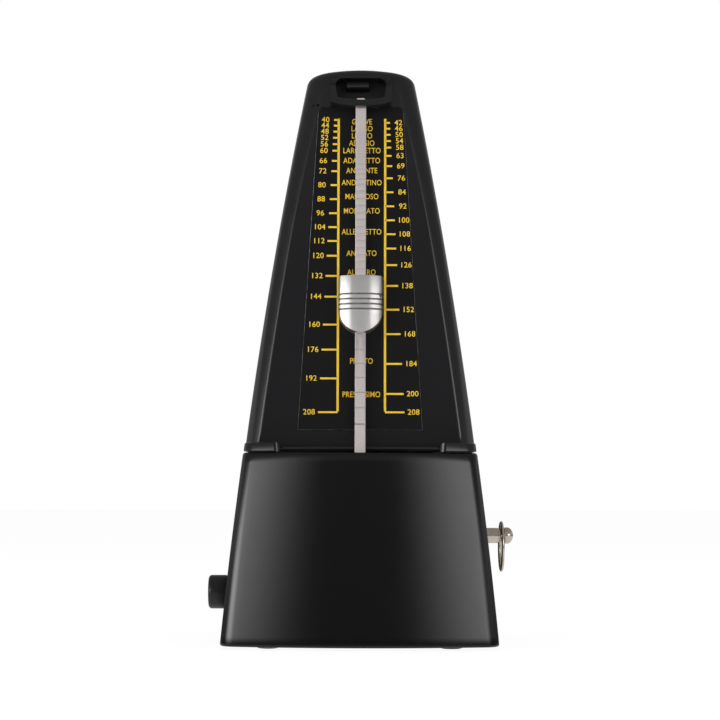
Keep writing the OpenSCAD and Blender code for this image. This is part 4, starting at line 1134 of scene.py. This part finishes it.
def build_camera(settings):
    """A long lens low over the table, tilted up a little."""
    pitch, roll = math.radians(93.15), math.radians(-0.15)
    data = bpy.data.cameras.new("camera")
    data.sensor_width = 36
    data.lens = 110.4
    data.clip_end = 20
    camera = bpy.data.objects.new("camera", data)
    bpy.context.scene.collection.objects.link(camera)
    camera.location = (0, -settings.eye_distance, settings.eye_height)
    camera.rotation_euler = (pitch, roll, 0)
    bpy.context.scene.camera = camera


# ---------------------------------------------------------------- operators and panel

class METRONOME_OT_lower_case(bpy.types.Operator):
    """Adds the lower case moulding with its bowed front and the pendulum slot."""
    bl_idname = "metronome.lower_case"
    bl_label = "Lower case"

    def execute(self, context):
        build_lower_case(context.scene.metronome_case)
        return {"FINISHED"}


class METRONOME_OT_upper_case(bpy.types.Operator):
    """Adds the upper case moulding with its leaning panel, foot blocks and arched top."""
    bl_idname = "metronome.upper_case"
    bl_label = "Upper case"

    def execute(self, context):
        build_upper_case(context.scene.metronome_case)
        return {"FINISHED"}


class METRONOME_OT_rod_rest(bpy.types.Operator):
    """Adds the rest that holds the tip of the rod."""
    bl_idname = "metronome.rod_rest"
    bl_label = "Rod rest"

    def execute(self, context):
        build_rod_rest()
        return {"FINISHED"}


class METRONOME_OT_tempo_scale(bpy.types.Operator):
    """Adds the scale plate and its printed tempo scale."""
    bl_idname = "metronome.tempo_scale"
    bl_label = "Tempo scale"

    def execute(self, context):
        build_scale_plate()
        build_scale_print(context.scene.metronome_scale)
        return {"FINISHED"}


class METRONOME_OT_pendulum(bpy.types.Operator):
    """Adds the notched rod and the sliding weight."""
    bl_idname = "metronome.pendulum"
    bl_label = "Rod and weight"

    def execute(self, context):
        build_rod(context.scene.metronome_pendulum)
        build_weight(context.scene.metronome_pendulum)
        return {"FINISHED"}


class METRONOME_OT_winding_key(bpy.types.Operator):
    """Adds the winding key's stem and its folding loop."""
    bl_idname = "metronome.winding_key"
    bl_label = "Winding key"

    def execute(self, context):
        build_key()
        return {"FINISHED"}


class METRONOME_OT_pull_knob(bpy.types.Operator):
    """Adds the pull knob of the beat selector."""
    bl_idname = "metronome.pull_knob"
    bl_label = "Pull knob"

    def execute(self, context):
        build_knob()
        return {"FINISHED"}


class METRONOME_OT_underside(bpy.types.Operator):
    """Adds the rubber feet and the case screws."""
    bl_idname = "metronome.underside"
    bl_label = "Feet and screws"

    def execute(self, context):
        build_feet()
        build_screws()
        return {"FINISHED"}


class METRONOME_OT_movement(bpy.types.Operator):
    """Gives the frame's own pieces, such as the clockwork, their metals and plastics."""
    bl_idname = "metronome.movement"
    bl_label = "Movement finishes"

    def execute(self, context):
        finish_nodes()
        return {"FINISHED"}


class METRONOME_OT_studio(bpy.types.Operator):
    """Adds the pale floor, the soft room light and the camera."""
    bl_idname = "metronome.studio"
    bl_label = "Studio"

    def execute(self, context):
        settings = context.scene.metronome_studio
        build_floor()
        build_world(settings)
        build_softbox()
        build_camera(settings)
        context.scene.view_settings.view_transform = "Standard"
        return {"FINISHED"}


class METRONOME_PT_sidebar(bpy.types.Panel):
    """Lists the metronome's operators and settings."""
    bl_idname = "METRONOME_PT_sidebar"
    bl_label = "Metronome"
    bl_space_type = "VIEW_3D"
    bl_region_type = "UI"
    bl_category = "Metronome"

    def draw(self, context):
        for operator in OPERATORS:
            self.layout.operator(operator.bl_idname)
        for name, group in GROUPS.items():
            box = self.layout.box()
            for field in group.__annotations__:
                box.prop(getattr(context.scene, name), field)


OPERATORS = (METRONOME_OT_studio, METRONOME_OT_lower_case, METRONOME_OT_upper_case, METRONOME_OT_rod_rest,
             METRONOME_OT_tempo_scale, METRONOME_OT_pendulum, METRONOME_OT_winding_key,
             METRONOME_OT_pull_knob, METRONOME_OT_underside, METRONOME_OT_movement)
GROUPS = {"metronome_case": CaseSizes, "metronome_scale": ScaleSizes,
          "metronome_pendulum": PendulumSizes, "metronome_studio": StudioSettings}


def register():
    for name, group in GROUPS.items():
        bpy.utils.register_class(group)
        setattr(bpy.types.Scene, name, bpy.props.PointerProperty(type=group))
    for made in (*OPERATORS, METRONOME_PT_sidebar):
        bpy.utils.register_class(made)


def unregister():
    for made in (METRONOME_PT_sidebar, *reversed(OPERATORS)):
        bpy.utils.unregister_class(made)
    for name, group in GROUPS.items():
        delattr(bpy.types.Scene, name)
        bpy.utils.unregister_class(group)


def main():
    register()
    for operator in OPERATORS:
        getattr(bpy.ops.metronome, operator.bl_idname.split(".")[1])()


if __name__ == "__main__":
    main()
